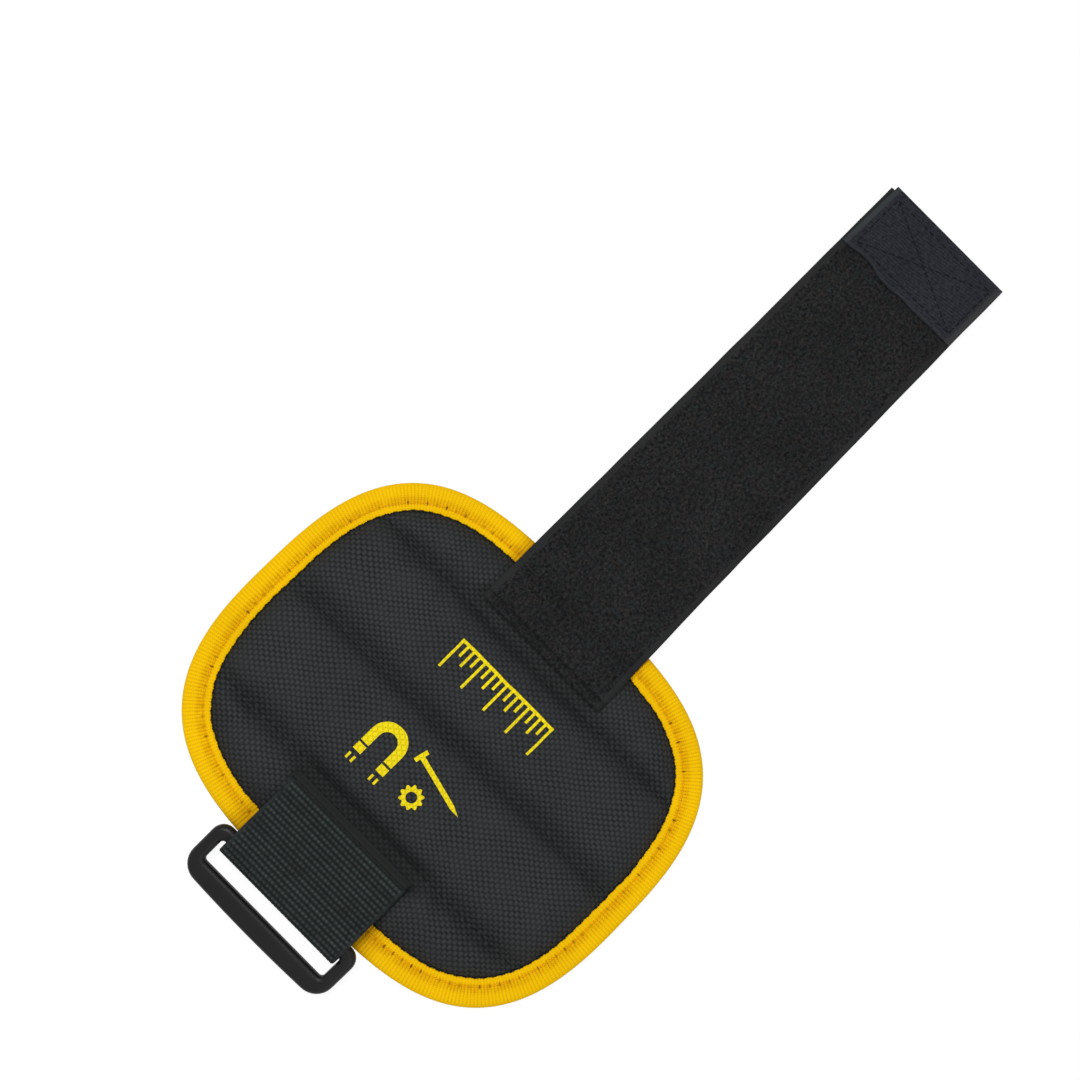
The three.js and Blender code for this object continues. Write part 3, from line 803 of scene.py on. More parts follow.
def woven_yarns(name):
    """Plain weave: height of the yarns, the gaps between them, and the spots where the warp sinks under the weft,
    which the finishes darken as painted shade.
    """
    group, n, start, end = new_group(name, {"Pitch": 1 * MM}, ("Height", "Gap", "Sunk"))
    x, y = n.split(start["Vector"])
    u, v = x / start["Pitch"], y / start["Pitch"]

    def yarn(along, across, shift):
        row = round(across)
        off = (across - row) * 2.0
        crown = (1.0 - off * off).larger(0.0).calculated("SQRT")
        over = ((along + row + shift) * math.pi).calculated("COSINE") * 0.5 + 0.5
        return crown * (over * 0.75 + 0.25)

    warp, weft = yarn(u, v, 0.0), yarn(v, u, 1.0)
    height = warp.larger(weft)
    n.feed(end["Height"], height)
    n.feed(end["Gap"], n.ramp(height, 0.52, 0.3, smooth=True))
    n.feed(end["Sunk"], n.ramp(weft - warp, 0.0, 0.5, smooth=True))
    return group


def soft_wear(name):
    """Slow patches of lighter and darker cloth, and a fine grain of fibres."""
    group, n, start, end = new_group(name, {"Grain Size": 0.5 * MM}, ("Patches", "Grain"))
    n.feed(end["Patches"], n.ramp(n.noise(start["Vector"], 22 * MM, 3.0), 0.3, 0.7))
    n.feed(end["Grain"], n.ramp(n.noise(start["Vector"], start["Grain Size"], 1.0), 0.3, 0.7))
    return group


def scale_and_tools(name):
    """Printed mask, drawn in mm: a plain measuring scale, a magnet, a toothed washer and a nail."""
    group, n, start, end = new_group(name, {}, ("Mask",))
    x, y = n.split(start["Vector"])
    up, right = (x - PAD_X) * 1000.0, y * -1000.0
    soft_edge = 0.06

    def inside(value, limit):
        return n.ramp(limit - value, -soft_edge, soft_edge, smooth=True)

    # Scale: marks along the third channel, a long one at every fourth
    line_up, middle, half_line, pitch = 25.6, 1.0, 19.75, 2.4
    shortest, half_more, fourth_more = 4.5, 2.0, 4.5
    mark = (right - middle) / pitch
    nearest = round(mark)
    fourth = nearest.calculated("PINGPONG", 2.0).calculated("LESS_THAN", 0.5)
    second = nearest.calculated("PINGPONG", 1.0).calculated("LESS_THAN", 0.5)
    length = fourth * fourth_more + shortest + second * half_more
    depth = line_up - up
    marks = inside(abs(mark - nearest) * pitch, 0.45) * inside(depth * -1.0, 0.0) * inside(depth, length)
    line = inside(abs(up - line_up), 0.55)
    masks = [marks.larger(line) * inside(abs(right - middle), half_line)]

    # Magnet: a horseshoe with its two tips marked off and pull marks below them
    magnet_right, bow_up, bow_radius, half_bar = -12.6, -13.2, 4.9, 1.6
    tips_up, ends_up, marks_up, half_mark = -18.3, -21.4, -24.0, 1.1
    legs = (up - bow_up).larger(0.0)
    bow = abs(right - magnet_right).length_with(legs)
    tips = 1.0 - inside(abs(up - tips_up), 0.4)
    masks.append(inside(abs(bow - bow_radius), half_bar) * inside(up * -1.0, -ends_up) * tips)
    for place in (-18.5, -16.5, -8.7, -6.7):
        masks.append(inside(abs(right - place), 0.4) * inside(abs(up - marks_up), half_mark))

    # Toothed washer
    washer_right, washer_up, teeth_count, tooth, radius, bore = 4.4, -19.6, 10.0, 0.45, 3.5, 1.8
    beside, above = right - washer_right, up - washer_up
    turn = above.calculated("ARCTAN2", beside)
    rim = (turn * teeth_count).calculated("SINE") * tooth + radius
    from_centre = beside.length_with(above)
    masks.append(inside(from_centre, rim) * (1.0 - inside(from_centre, bore)))

    # Nail, with a taper at its tip and a flat head
    nail_right, nail_up, half_nail, half_shank, half_head, taper = 8.2, -11.2, 10.8, 0.8, 2.4, 3.4
    turned, places = n.add("ShaderNodeVectorRotate", {"rotation_type": "Z_AXIS"}, Vector=n.place(right, up))
    turned.inputs["Center"].default_value = (nail_right, nail_up, 0)
    turned.inputs["Angle"].default_value = math.radians(14)
    run, side = n.split(places["Vector"])
    run, wide = run - nail_right, abs(side - nail_up)
    point = n.ramp(run, half_nail - taper, half_nail, half_shank, 0.0)
    masks.append(inside(wide, point) * inside(abs(run), half_nail))
    masks.append(inside(wide, half_head) * inside(abs(run + half_nail), 0.7))
    n.feed(end["Mask"], functools.reduce(Output.larger, masks))
    return group


def new_finish(name):
    material = bpy.data.materials.new(name)
    material.use_nodes = True
    return material, Nodes(material.node_tree), material.node_tree.nodes["Principled BSDF"]


def cloth_finish(name, grain):
    """A new material, with the places on its cloth and how the cloth is worn."""
    material, n, shader = new_finish(name)
    uv = n.add("ShaderNodeUVMap", {"uv_map": "UVMap"})[1]["UV"]
    return material, n, shader, uv, n.use(soft_wear, Vector=uv, Grain_Size=grain)


def solid_finish(name, grain):
    """A new material for a piece without UV, worn by its object coordinates."""
    material, n, shader = new_finish(name)
    where = n.add("ShaderNodeTexCoord")[1]["Object"]
    return material, n, shader, n.use(soft_wear, Vector=where, Grain_Size=grain)


def dress(n, shader, colour, roughness, specular=None):
    n.feed(shader.inputs["Base Color"], colour)
    n.feed(shader.inputs["Roughness"], roughness)
    n.feed(shader.inputs["Specular IOR Level"], specular)


def patched(n, wear, colour, darkest, lightest):
    """A colour in slow patches."""
    return n.shaded(colour, n.ramp(wear["Patches"], 0.0, 1.0, darkest, lightest))


def scaled(colour, factor):
    return (*[min(1.0, c * factor) for c in colour], 1.0)


def bump(n, shader, height, distance, strength=1.0):
    _, bumped = n.add("ShaderNodeBump", Height=height, Distance=distance, Strength=strength)
    n.feed(shader.inputs["Normal"], bumped["Normal"])


def cover_finish():
    pad = pad_settings()
    cover = functools.partial(scaled, pad.cover_colour)
    material, n, shader, uv, wear = cloth_finish("ballistic_nylon", 0.4 * MM)
    laid = n.vector_math("MULTIPLY", n.wander(uv, 20 * MM, 1.8 * MM), (CROSS_YARNS, 1, 1))
    weave = n.use(woven_yarns, Vector=laid, Pitch=pad.yarn_pitch)
    uneven = n.ramp(n.noise(uv, 8 * MM, 3.0), 0.35, 0.65, 0.6, 1.15)
    # Painted shade and sheen: the weave is lighter where the warp lies on top and darker on the weft squares, with
    # painted shade in the furrows and gaps between the yarns
    colour = n.mix(weave["Sunk"] * uneven, cover(1.36), cover(0.5))
    furrow = 1.0 - n.wave(n.split(laid)[1], pad.yarn_pitch)
    colour = n.mix(furrow * 0.34, colour, cover(0.45))
    colour = n.mix(weave["Gap"] * 0.55, colour, cover(0.3))

    # Painted shade in the valleys, and painted shadow where the cover dips beside the tab and beside the strap
    x, y = n.split(uv)
    hollows = weave["Sunk"] * 0.5 + 0.28
    for valley, reach in zip(VALLEYS, (5 * MM, 5 * MM, 3.6 * MM)):
        near = n.fade(abs(x - valley), 0.8 * MM, reach)
        colour = n.mix(near * hollows, colour, cover(0.3))
    for low, high, most in ((TAB_HIGH.x, VALLEYS[0], 0.6), (VALLEYS[2], STRAP_START, 0.3)):
        reach = (high - low) / 2
        tucked = n.fade(abs(x - (low + high) / 2), reach, reach + 5 * MM, most)
        beside = n.fade(abs(y), 23 * MM, 29 * MM)
        colour = n.mix(tucked * beside, colour, cover(0.3))

    printed = n.use(scale_and_tools, Vector=uv)["Mask"]
    # The print is darker on the weft squares too: the same painted shade as the weave
    ink = n.mix(weave["Sunk"], scaled(pad.print_colour, 1.0), scaled(pad.print_colour, 0.84))
    colour = n.mix(printed * (1.0 - weave["Gap"] * 0.55), colour, ink)
    dress(n, shader, patched(n, wear, colour, 0.93, 1.07), n.ramp(weave["Sunk"], 0.0, 1.0, 0.6, 0.75), 0.12)
    bump(n, shader, wear["Grain"] * 0.12 + weave["Height"], 0.26 * MM, 0.7)
    return material


def lining_finish():
    material, n, shader, uv, wear = cloth_finish("lining_cloth", 0.3 * MM)
    weave = n.use(woven_yarns, Vector=uv, Pitch=0.55 * MM)
    # Painted shade on the weft squares of the weave
    colour = n.mix(weave["Sunk"], (0.017, 0.017, 0.018, 1), (0.010, 0.010, 0.011, 1))
    dress(n, shader, patched(n, wear, colour, 0.85, 1.15), 0.85, 0.1)
    bump(n, shader, weave["Height"], 0.12 * MM, 0.7)
    return material


def even_pitch(pitch):
    """The pitch nearest to this one that goes into the pad's outline a whole number of times."""
    return PERIMETER / round(PERIMETER / pitch)


def binding_finish():
    pad = pad_settings()
    material, n, shader, uv, wear = cloth_finish("grosgrain_tape", 0.35 * MM)
    along, across = n.split(uv)
    groove = n.ramp(n.wave(along, even_pitch(pad.rib_pitch)), 0.0, 0.5, 1.0, 0.0, smooth=True)
    thread = n.wave(across, 0.72 * MM)
    # Painted shade in the sunken band just beside the stitches, in patches
    patchy = n.ramp(n.noise(uv, 4 * MM, 2.0), 0.35, 0.62, 0.35, 1.0)
    trough = n.fade(abs(across - (STITCH_INSET + 0.7 * MM)), 0.5 * MM, 2.2 * MM) * patchy
    lip = n.fade(across, STITCH_INSET * 0.6, STITCH_INSET, 0.5)
    turn_start, turn_end = pad.binding_width - 1.4 * MM, pad.binding_width + 0.4 * MM
    turned = n.ramp(across, turn_start, turn_end, 1.0, 0.1, smooth=True)
    # Painted shade in the grooves between the ribs, broken by the cross threads, stronger in the trough, weaker on the
    # smooth lip and fading out over the fold
    marks = groove * (thread * -0.8 + 1.15) * (trough * 0.55 + 0.4) * (1.0 - lip) * turned
    colour = n.mix(marks, scaled(pad.binding_colour, 1.0), (0.52, 0.23, 0.001, 1))
    colour = n.mix(trough * 0.38, colour, (0.6, 0.24, 0.001, 1))

    # Needle holes, longer across the tape; some of them are open, and the dark in the open ones is painted shade
    # inside the hole
    pitch = even_pitch(pad.stitch_pitch)
    hole = along / pitch
    which = round(hole)
    from_hole = ((hole - which) * pitch).length_with((across - STITCH_INSET) * 0.55)
    chance = n.chance(W=which)
    open_hole = n.fade(from_hole, 0.2 * MM, 0.55 * MM) * n.ramp(chance, 0.1, 0.9, 0.25, 1.0)
    dark_hole = n.mix(n.ramp(chance, 0.75, 0.95), (0.34, 0.14, 0.002, 1), (0.2, 0.08, 0.003, 1))
    colour = n.mix(open_hole, colour, dark_hole)

    # Rubbed darker, and painted contact shadow, beside the tab and beside the strap
    from_tab = abs(along - PERIMETER / 2)
    from_strap = PERIMETER / 2 - from_tab
    rubbed = n.fade(from_tab, 26 * MM, 33 * MM).larger(n.fade(from_strap, 25 * MM, 30 * MM))
    colour = n.mix(rubbed * (groove * 0.3 + 0.42), colour, (0.5, 0.21, 0.003, 1))
    dress(n, shader, patched(n, wear, colour, 0.95, 1.04), 0.7, 0.03)
    bump(n, shader, groove * -0.6 + thread * 0.4, 0.1 * MM, 0.6)
    return material


def thread_finish(name, colour):
    material, n, shader = new_finish(name)
    fibre = n.noise(n.add("ShaderNodeTexCoord")[1]["Object"], 0.25 * MM, 2.0)
    dress(n, shader, n.mix(n.ramp(fibre, 0.3, 0.7), scaled(colour, 0.75), scaled(colour, 1.1)), 0.6, 0.05)
    bump(n, shader, fibre, 0.08 * MM, 0.6)
    return material


def loop_pile_finish():
    strap = strap_settings()
    cloth = functools.partial(scaled, strap.strap_colour)
    material, n, shader, uv, wear = cloth_finish("loop_pile", 0.55 * MM)
    along, across = n.split(uv)
    fuzz = n.ramp(n.noise(uv, 1.1 * MM, 3.0, 0.7), 0.36, 0.66)
    _, loops = n.add("ShaderNodeTexVoronoi", Vector=uv, Scale=1 / (0.9 * MM))
    curl = n.ramp(loops["Distance"], 0.1, 0.6, 1.0, 0.0)
    pile = (curl * 0.5 + fuzz) * 0.66
    warm = n.ramp(n.noise(uv, 3 * MM, 2.0), 0.38, 0.62)
    high = n.mix(warm, (0.033, 0.038, 0.040, 1), (0.043, 0.038, 0.037, 1))
    edge = strap.strap_width / 2 - abs(across)
    colour = n.mix(pile, cloth(0.32), high)
    colour = n.shaded(colour, n.fade(edge, 1.2 * MM, 3.4 * MM, 0.3) + 1.0)
    flat = n.ramp(edge, strap.selvedge, strap.selvedge * 0.8, smooth=True)
    ridge = n.wave(along, 0.75 * MM)
    colour = n.mix(flat, colour, n.mix(ridge, cloth(1.1), cloth(1.6)))
    seam = n.fade(abs(along - SEWN_HEM), 0.25 * MM, 0.8 * MM, 0.35)
    colour = n.mix(seam, colour, cloth(0.3))
    dress(n, shader, patched(n, wear, colour, 0.85, 1.15), 0.95, 0.06)
    bump(n, shader, pile * (1.0 - flat) + ridge * (flat * 0.12), 0.5 * MM, 0.8)
    return material


def hook_tape_finish():
    colour = strap_settings().hook_colour
    material, n, shader, uv, wear = cloth_finish("hook_tape", 0.7 * MM)
    along, across = n.split(uv)
    lines = n.wave(across * 0.16 + along, 1.05 * MM)
    hooks = lines * n.wave(across, 0.8 * MM)
    mottled = n.ramp(n.noise(uv, 1.3 * MM, 3.0, 0.75), 0.32, 0.68)
    rough = hooks * 0.22 + lines * 0.14 + mottled * 0.72
    colour = n.mix(rough, scaled(colour, 0.4), scaled(colour, 1.75))

    # The tape's own edges are smooth and lighter
    left = n.ramp(across, PATCH_SIDE - 2.1 * MM, PATCH_SIDE - 1.6 * MM, smooth=True)
    colour = n.mix(left * 0.85, colour, (0.036, 0.041, 0.044, 1))
    colour = n.mix(n.fade(along, 0.4 * MM, 1.0 * MM, 0.6), colour, (0.036, 0.040, 0.045, 1))
    right = n.fade(across + PATCH_HALF, 1.3 * MM, 3.0 * MM, 0.85)
    colour = n.mix(right, colour, (0.048, 0.048, 0.050, 1))
    dress(n, shader, patched(n, wear, colour, 0.85, 1.12), n.ramp(left, 0.0, 1.0, 0.78, 0.6), 0.08)
    bump(n, shader, rough * (1.0 - left), 0.4 * MM, 0.8)
    return material


def webbing_finish():
    strap = strap_settings()
    webbing = functools.partial(scaled, strap.webbing_colour)
    material, n, shader, uv, wear = cloth_finish("ribbed_webbing", 0.4 * MM)
    run, side = n.split(uv)
    row = run / strap.webbing_rib_pitch
    number = math.floor(row)
    rib = 1.0 - n.wave(row, 1.0)
    beside = side + number.calculated("PINGPONG", 1.0) * (WEBBING_BEAD / 2)
    bead = 1.0 - n.wave(beside, WEBBING_BEAD)
    relief = rib * (bead * 0.65 + 0.35)
    hem = n.fade(run, SEWN_HEM - 0.1 * MM, SEWN_HEM + 0.1 * MM)
    selvedge = n.ramp(abs(side), TAB_HALF - 1.3 * MM, TAB_HALF - 1.0 * MM, 0.0, 0.8, smooth=True)
    relief = (0.36 - relief) * hem.larger(selvedge) + relief
    # Painted shade in the troughs between the ribs and beads, and lighter crests
    colour = n.mix(relief, webbing(0.1), webbing(2.25))
    by_rib = n.ramp(n.chance(W=number), 0.0, 1.0, 0.8, 1.2)
    by_bead = n.chance(Vector=n.place(number, round(beside / WEBBING_BEAD)))
    colour = n.shaded(colour, by_rib * n.ramp(by_bead, 0.0, 1.0, 0.72, 1.22))
    colour = n.mix(hem * 0.9, colour, (0.0092, 0.0092, 0.0090, 1))
    # Painted shade in the sunken seam at the hem
    sunk = n.fade(abs(run - SEWN_HEM), 0.15 * MM, 0.55 * MM, 0.8)
    colour = n.mix(sunk, colour, (0.002, 0.002, 0.002, 1))
    # Painted highlight along the cut end of the tab
    colour = n.mix(n.fade(run, 0.15 * MM, 0.6 * MM, 0.45), colour, (0.034, 0.034, 0.033, 1))
    colour = n.mix(wear["Grain"] * 0.35, colour, webbing(0.5))
    dress(n, shader, patched(n, wear, colour, 0.9, 1.1), 0.62, 0.12)
    bump(n, shader, wear["Grain"], 0.1 * MM, 0.6)
    return material


def ring_finish():
    material, n, shader, wear = solid_finish("moulded_nylon", 0.5 * MM)
    colour = strap_settings().ring_colour
    colour = n.mix(wear["Patches"], scaled(colour, 0.9), scaled(colour, 1.15))
    dress(n, shader, colour, n.ramp(wear["Patches"], 0.0, 1.0, 0.32, 0.42), 0.2)
    bump(n, shader, wear["Grain"], 0.03 * MM, 0.5)
    return material


def magnet_finish():
    material, n, shader, wear = solid_finish("nickel_plate", 0.2 * MM)
    colour = n.mix(wear["Patches"], (0.4, 0.41, 0.43, 1), (0.55, 0.55, 0.56, 1))
    dress(n, shader, colour, n.ramp(wear["Grain"], 0.0, 1.0, 0.22, 0.38))
    shader.inputs["Metallic"].default_value = 1.0
    bump(n, shader, wear["Grain"], 0.01 * MM, 0.4)
    return material


# Stage


def seen_directly(n):
    """1 for what the camera sees, also as a reflection or through glass, and 0 for what only lights."""
    _, ray = n.add("ShaderNodeLightPath")
    return ray["Is Camera Ray"].larger(ray["Is Glossy Ray"].larger(ray["Is Transmission Ray"]))


def linked(name, data):
    made = bpy.data.objects.new(name, data)
    bpy.context.scene.collection.objects.link(made)
    return made


def soft_light(name, place, size, power):
    """A round light that faces the pad."""
    light = bpy.data.lights.new(name, "AREA")
    light.shape, light.size, light.energy = "DISK", size, power
    aim = Vector((PAD_X + 40 * MM, 0, 0)) - Vector(place)
    turn = aim.to_track_quat("-Z", "Y").to_matrix().to_4x4()
    linked(name, light).matrix_world = Matrix.Translation(place) @ turn


def floor_finish():
    """Dull and pale, and as bright as the surroundings where it is seen directly."""
    material, n, shader = new_finish("pale_floor")
    dress(n, shader, (0.82, 0.82, 0.82, 1), 0.9, 0.1)
    _, glow = n.add("ShaderNodeEmission", Color=(1, 1, 1, 1), Strength=1.045)
    mixer, mixed = n.add("ShaderNodeMixShader")
    parts = (seen_directly(n) * 0.88, Output(n.tree, shader.outputs["BSDF"]), glow["Emission"])
    for socket, part in zip(mixer.inputs, parts):
        n.feed(socket, part)
    n.feed(material.node_tree.nodes["Material Output"].inputs["Surface"], mixed["Shader"])
    return material


class WRISTBAND_OT_stage(bpy.types.Operator):
    """Camera, soft light, pale floor and white surroundings"""

    bl_idname = "wristband.stage"
    bl_label = "Stage"

    def execute(self, context):
        scene = context.scene
        scene.view_settings.view_transform = "Standard"
        settings = stage_settings()
        camera = linked("camera", bpy.data.cameras.new("camera"))
        camera.data.lens = settings.focal_length
        camera.data.sensor_width = 36
        camera.data.sensor_fit = "HORIZONTAL"
        camera.data.clip_end = 10
        angles = ((0, -8.87, 0), (0.32, 0, 0), (0, 0, -44.67))
        tilt, lean, roll = [Euler([math.radians(a) for a in three]).to_matrix() for three in angles]
        turn = tilt @ lean @ roll
        aim = Vector((PAD_X + 65.44 * MM, 23.96 * MM, 3 * MM))
        distance = 0.6
        camera.matrix_world = Matrix.Translation(aim + turn @ Vector((0, 0, distance))) @ turn.to_4x4()
        scene.camera = camera

        soft_light("key", (0.0, 0.35, 1.1), 0.45, settings.key_strength)
        soft_light("fill", (-0.5, -0.7, 0.8), 0.9, settings.key_strength * 0.25)
        world = bpy.data.worlds.new("studio")
        scene.world = world
        world.use_nodes = True
        n, back = Nodes(world.node_tree), world.node_tree.nodes["Background"]
        n.feed(back.inputs["Strength"], n.ramp(seen_directly(n), 0.0, 1.0, 0.4, 1.0))
        n.feed(back.inputs["Color"], (1, 1, 1, 1))

        shape = bmesh.new()
        bmesh.ops.create_grid(shape, x_segments=2, y_segments=2, size=6.0)
        bmesh.ops.translate(shape, verts=shape.verts, vec=(0, 0, -0.1 * MM))
        floor = to_object(shape, "floor", floor_finish(), smooth=False)
        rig.stage(floor)
        return {"FINISHED"}


# Cover


def sewn_down(x, y):
    """Whether the cover is held here: under the binding, in a valley, under the tab or the strap."""
    at_edge = edge_distance(x - PAD_X, y) < pad_settings().binding_width + 0.8 * MM
    in_valley = min(abs(x - place) for place in VALLEYS) < 1.3 * MM
    under_tape = abs(y) < TAB_HALF + 1.5 * MM and not TAB_HIGH.x < x < STRAP_START
    return at_edge or in_valley or under_tape


def swollen_cover(material):
    """Blows the sewn-down cover up as cloth, and gives how far each of its points moves."""
    scene = bpy.context.scene

    def place(s, t):
        x, y = pad_point(s, t)
        return Vector((x, y, cover_height(x, y))) * CLOTH_SCALE, (x, y)

    cloth = to_object(cloth_grid(64, 72, place), "cover_cloth", material)
    start = [v.co / CLOTH_SCALE for v in cloth.data.vertices]
    sewn = cloth.vertex_groups.new(name="sewn")
    sewn.add([k for k, p in enumerate(start) if sewn_down(p.x, p.y)], 1.0, "REPLACE")
    swell = cloth.modifiers.new("swell", "CLOTH")
    swell.settings.quality = 5
    swell.settings.mass = 0.3
    swell.settings.bending_stiffness = 0.5
    swell.settings.vertex_group_mass = "sewn"
    swell.settings.use_pressure = True
    swell.settings.uniform_pressure_force = 4.0
    swell.settings.shrink_min = -0.02
    swell.settings.effector_weights.gravity = 0.0
    swell.point_cache.frame_start, swell.point_cache.frame_end = 1, SWELL_FRAMES
    for number in range(1, SWELL_FRAMES + 1):
        scene.frame_set(number)
    apply_modifiers(cloth)
    moved = KDTree(len(start))
    shifts = []
    for k, (before, vert) in enumerate(zip(start, cloth.data.vertices)):
        moved.insert((before.x, before.y, 0), k)
        shift = vert.co / CLOTH_SCALE - before
        shifts.append(shift / (1 + shift.length / MOST_SWELL))
    moved.balance()
    bpy.data.objects.remove(cloth)
    scene.frame_set(1)

    def shift_at(x, y):
        count, softening = 4, 0.05 * MM
        near = moved.find_n((x, y, 0), count)
        weights = [1 / (distance + softening) ** 2 for _, _, distance in near]
        total = sum((shifts[k] * w for (_, k, _), w in zip(near, weights)), Vector())
        return total / sum(weights)

    return shift_at


class WRISTBAND_OT_cover(bpy.types.Operator):
    """Padded channels under the woven cover, pinched at the edge and drawn down in the valleys"""

    bl_idname = "wristband.cover"
    bl_label = "Padded cover"

    def execute(self, context):
        under = LINING_BASE + 1.0 * MM

        def place(s, t):
            x, y = pad_point(s, t)
            return (x, y, under), (x, y)

        finish = cover_finish()
        shift_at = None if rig.quick() else swollen_cover(finish)
        shape = cloth_grid(136, 136, place)
        for valley in VALLEYS:
            cut_across(shape, valley)
        for vert in extruded(shape):
            vert.co.z = cover_height(vert.co.x, vert.co.y)
            if shift_at:
                vert.co += shift_at(vert.co.x, vert.co.y)
        outward(shape)
        whole = to_object(shape, "cover_whole", finish)
        pieces = split_at(whole, PANEL_MIDDLES, [f"pad_cover_{part}" for part in PAD_PARTS])
        nodes = [
            ["cover_panel_1", "foam_channel_1", "cover_panel_2", "foam_channel_2"],
            ["cover_panel_3", "foam_channel_3"],
            ["cover_panel_4", "foam_channel_4"],
        ]
        for piece, stood_for in zip(pieces, nodes):
            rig.replaces(piece, *stood_for)
            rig.slot(piece, "cover_nylon")
            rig.padded(piece, fill=0.55)
        bend_pad_pieces(pieces)

        finish = thread_finish("quilting_thread", (0.012, 0.012, 0.013))
        pitch = 3.6 * MM
        quilting = []
        for k, valley in enumerate(VALLEYS):
            reach = HALF_WIDTH
            while edge_distance(valley - PAD_X, reach) < pad_settings().binding_width + 1.5 * MM:
                reach -= 0.5 * MM
            ends = (valley, -reach), (valley, reach)
            shape = bmesh.new()
            stitch_row(shape, *ends, lambda x, y: cover_height(x, y) - 0.05 * MM, pitch)
            below = 0.18 * MM, -0.15 * MM
            stitch_row(shape, *ends, lambda x, y: lining_height(x, y) + 0.08 * MM, pitch, *below)
            quilting.append(to_object(shape, f"quilting_{k + 1}", finish))
            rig.slot(quilting[-1], "cover_nylon")
        bend_pad_pieces(quilting)
        return {"FINISHED"}


# Lining and binding


class WRISTBAND_OT_lining(bpy.types.Operator):
    """Lining cloth on the side of the arm"""

    bl_idname = "wristband.lining"
    bl_label = "Lining"

    def execute(self, context):
        inset = 4.0 * MM

        def place(s, t):
            angle, reach = square_to_disc(s, t)
            edge = outline_point(angle, inset) * reach
            x = PAD_X + edge.x
            return (x, edge.y, lining_height(x, edge.y)), (x, edge.y)

        shape = cloth_grid(56, 66, place)
        for vert in extruded(shape):
            vert.co.z += LINING_THICKNESS
        outward(shape)
        whole = to_object(shape, "lining_whole", lining_finish())
        pieces = split_at(whole, PANEL_MIDDLES, [f"lining_{part}" for part in PAD_PARTS])
        nodes = [["lining_panel_1", "lining_panel_2"], ["lining_panel_3"], ["lining_panel_4"]]
        borders = [PAD_LOW_X + inset, *PANEL_MIDDLES, PAD_HIGH_X - inset]
        width = 2 * (HALF_WIDTH - inset)
        for piece, stood_for, low, high in zip(pieces, nodes, borders, borders[1:]):
            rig.replaces(piece, *stood_for)
            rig.slot(piece, "lining_fabric")
            length = high - low
            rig.sheet(piece, flat=(length, width), held="stretched")
        bend_pad_pieces(pieces)
        return {"FINISHED"}


def binding_section():
    """Section of the folded tape, as insets and heights, and how many of its points lie outside."""
    radius, width, steps = EDGE_THICKNESS / 2, pad_settings().binding_width, 9
    lip = width + 0.25 * MM

    def fold(reach, steps, way):
        turns = [math.pi * k / steps for k in range(steps + 1)]
        return [(radius - reach * math.sin(a), radius + way * reach * math.cos(a)) for a in turns]

    outside = [(width - k / steps * (width - radius), EDGE_THICKNESS) for k in range(steps + 1)]
    outside += fold(radius, 8, 1)[1:-1]
    outside += [(radius + k / steps * (width - radius), 0.0) for k in range(steps + 1)]
    inside = [
        (lip, TAPE_THICKNESS / 2),
        (width, TAPE_THICKNESS),
        *fold(radius - TAPE_THICKNESS, 4, -1),
        (width, EDGE_THICKNESS - TAPE_THICKNESS),
        (lip, EDGE_THICKNESS - TAPE_THICKNESS / 2),
    ]
    return [*outside, *inside], len(outside)


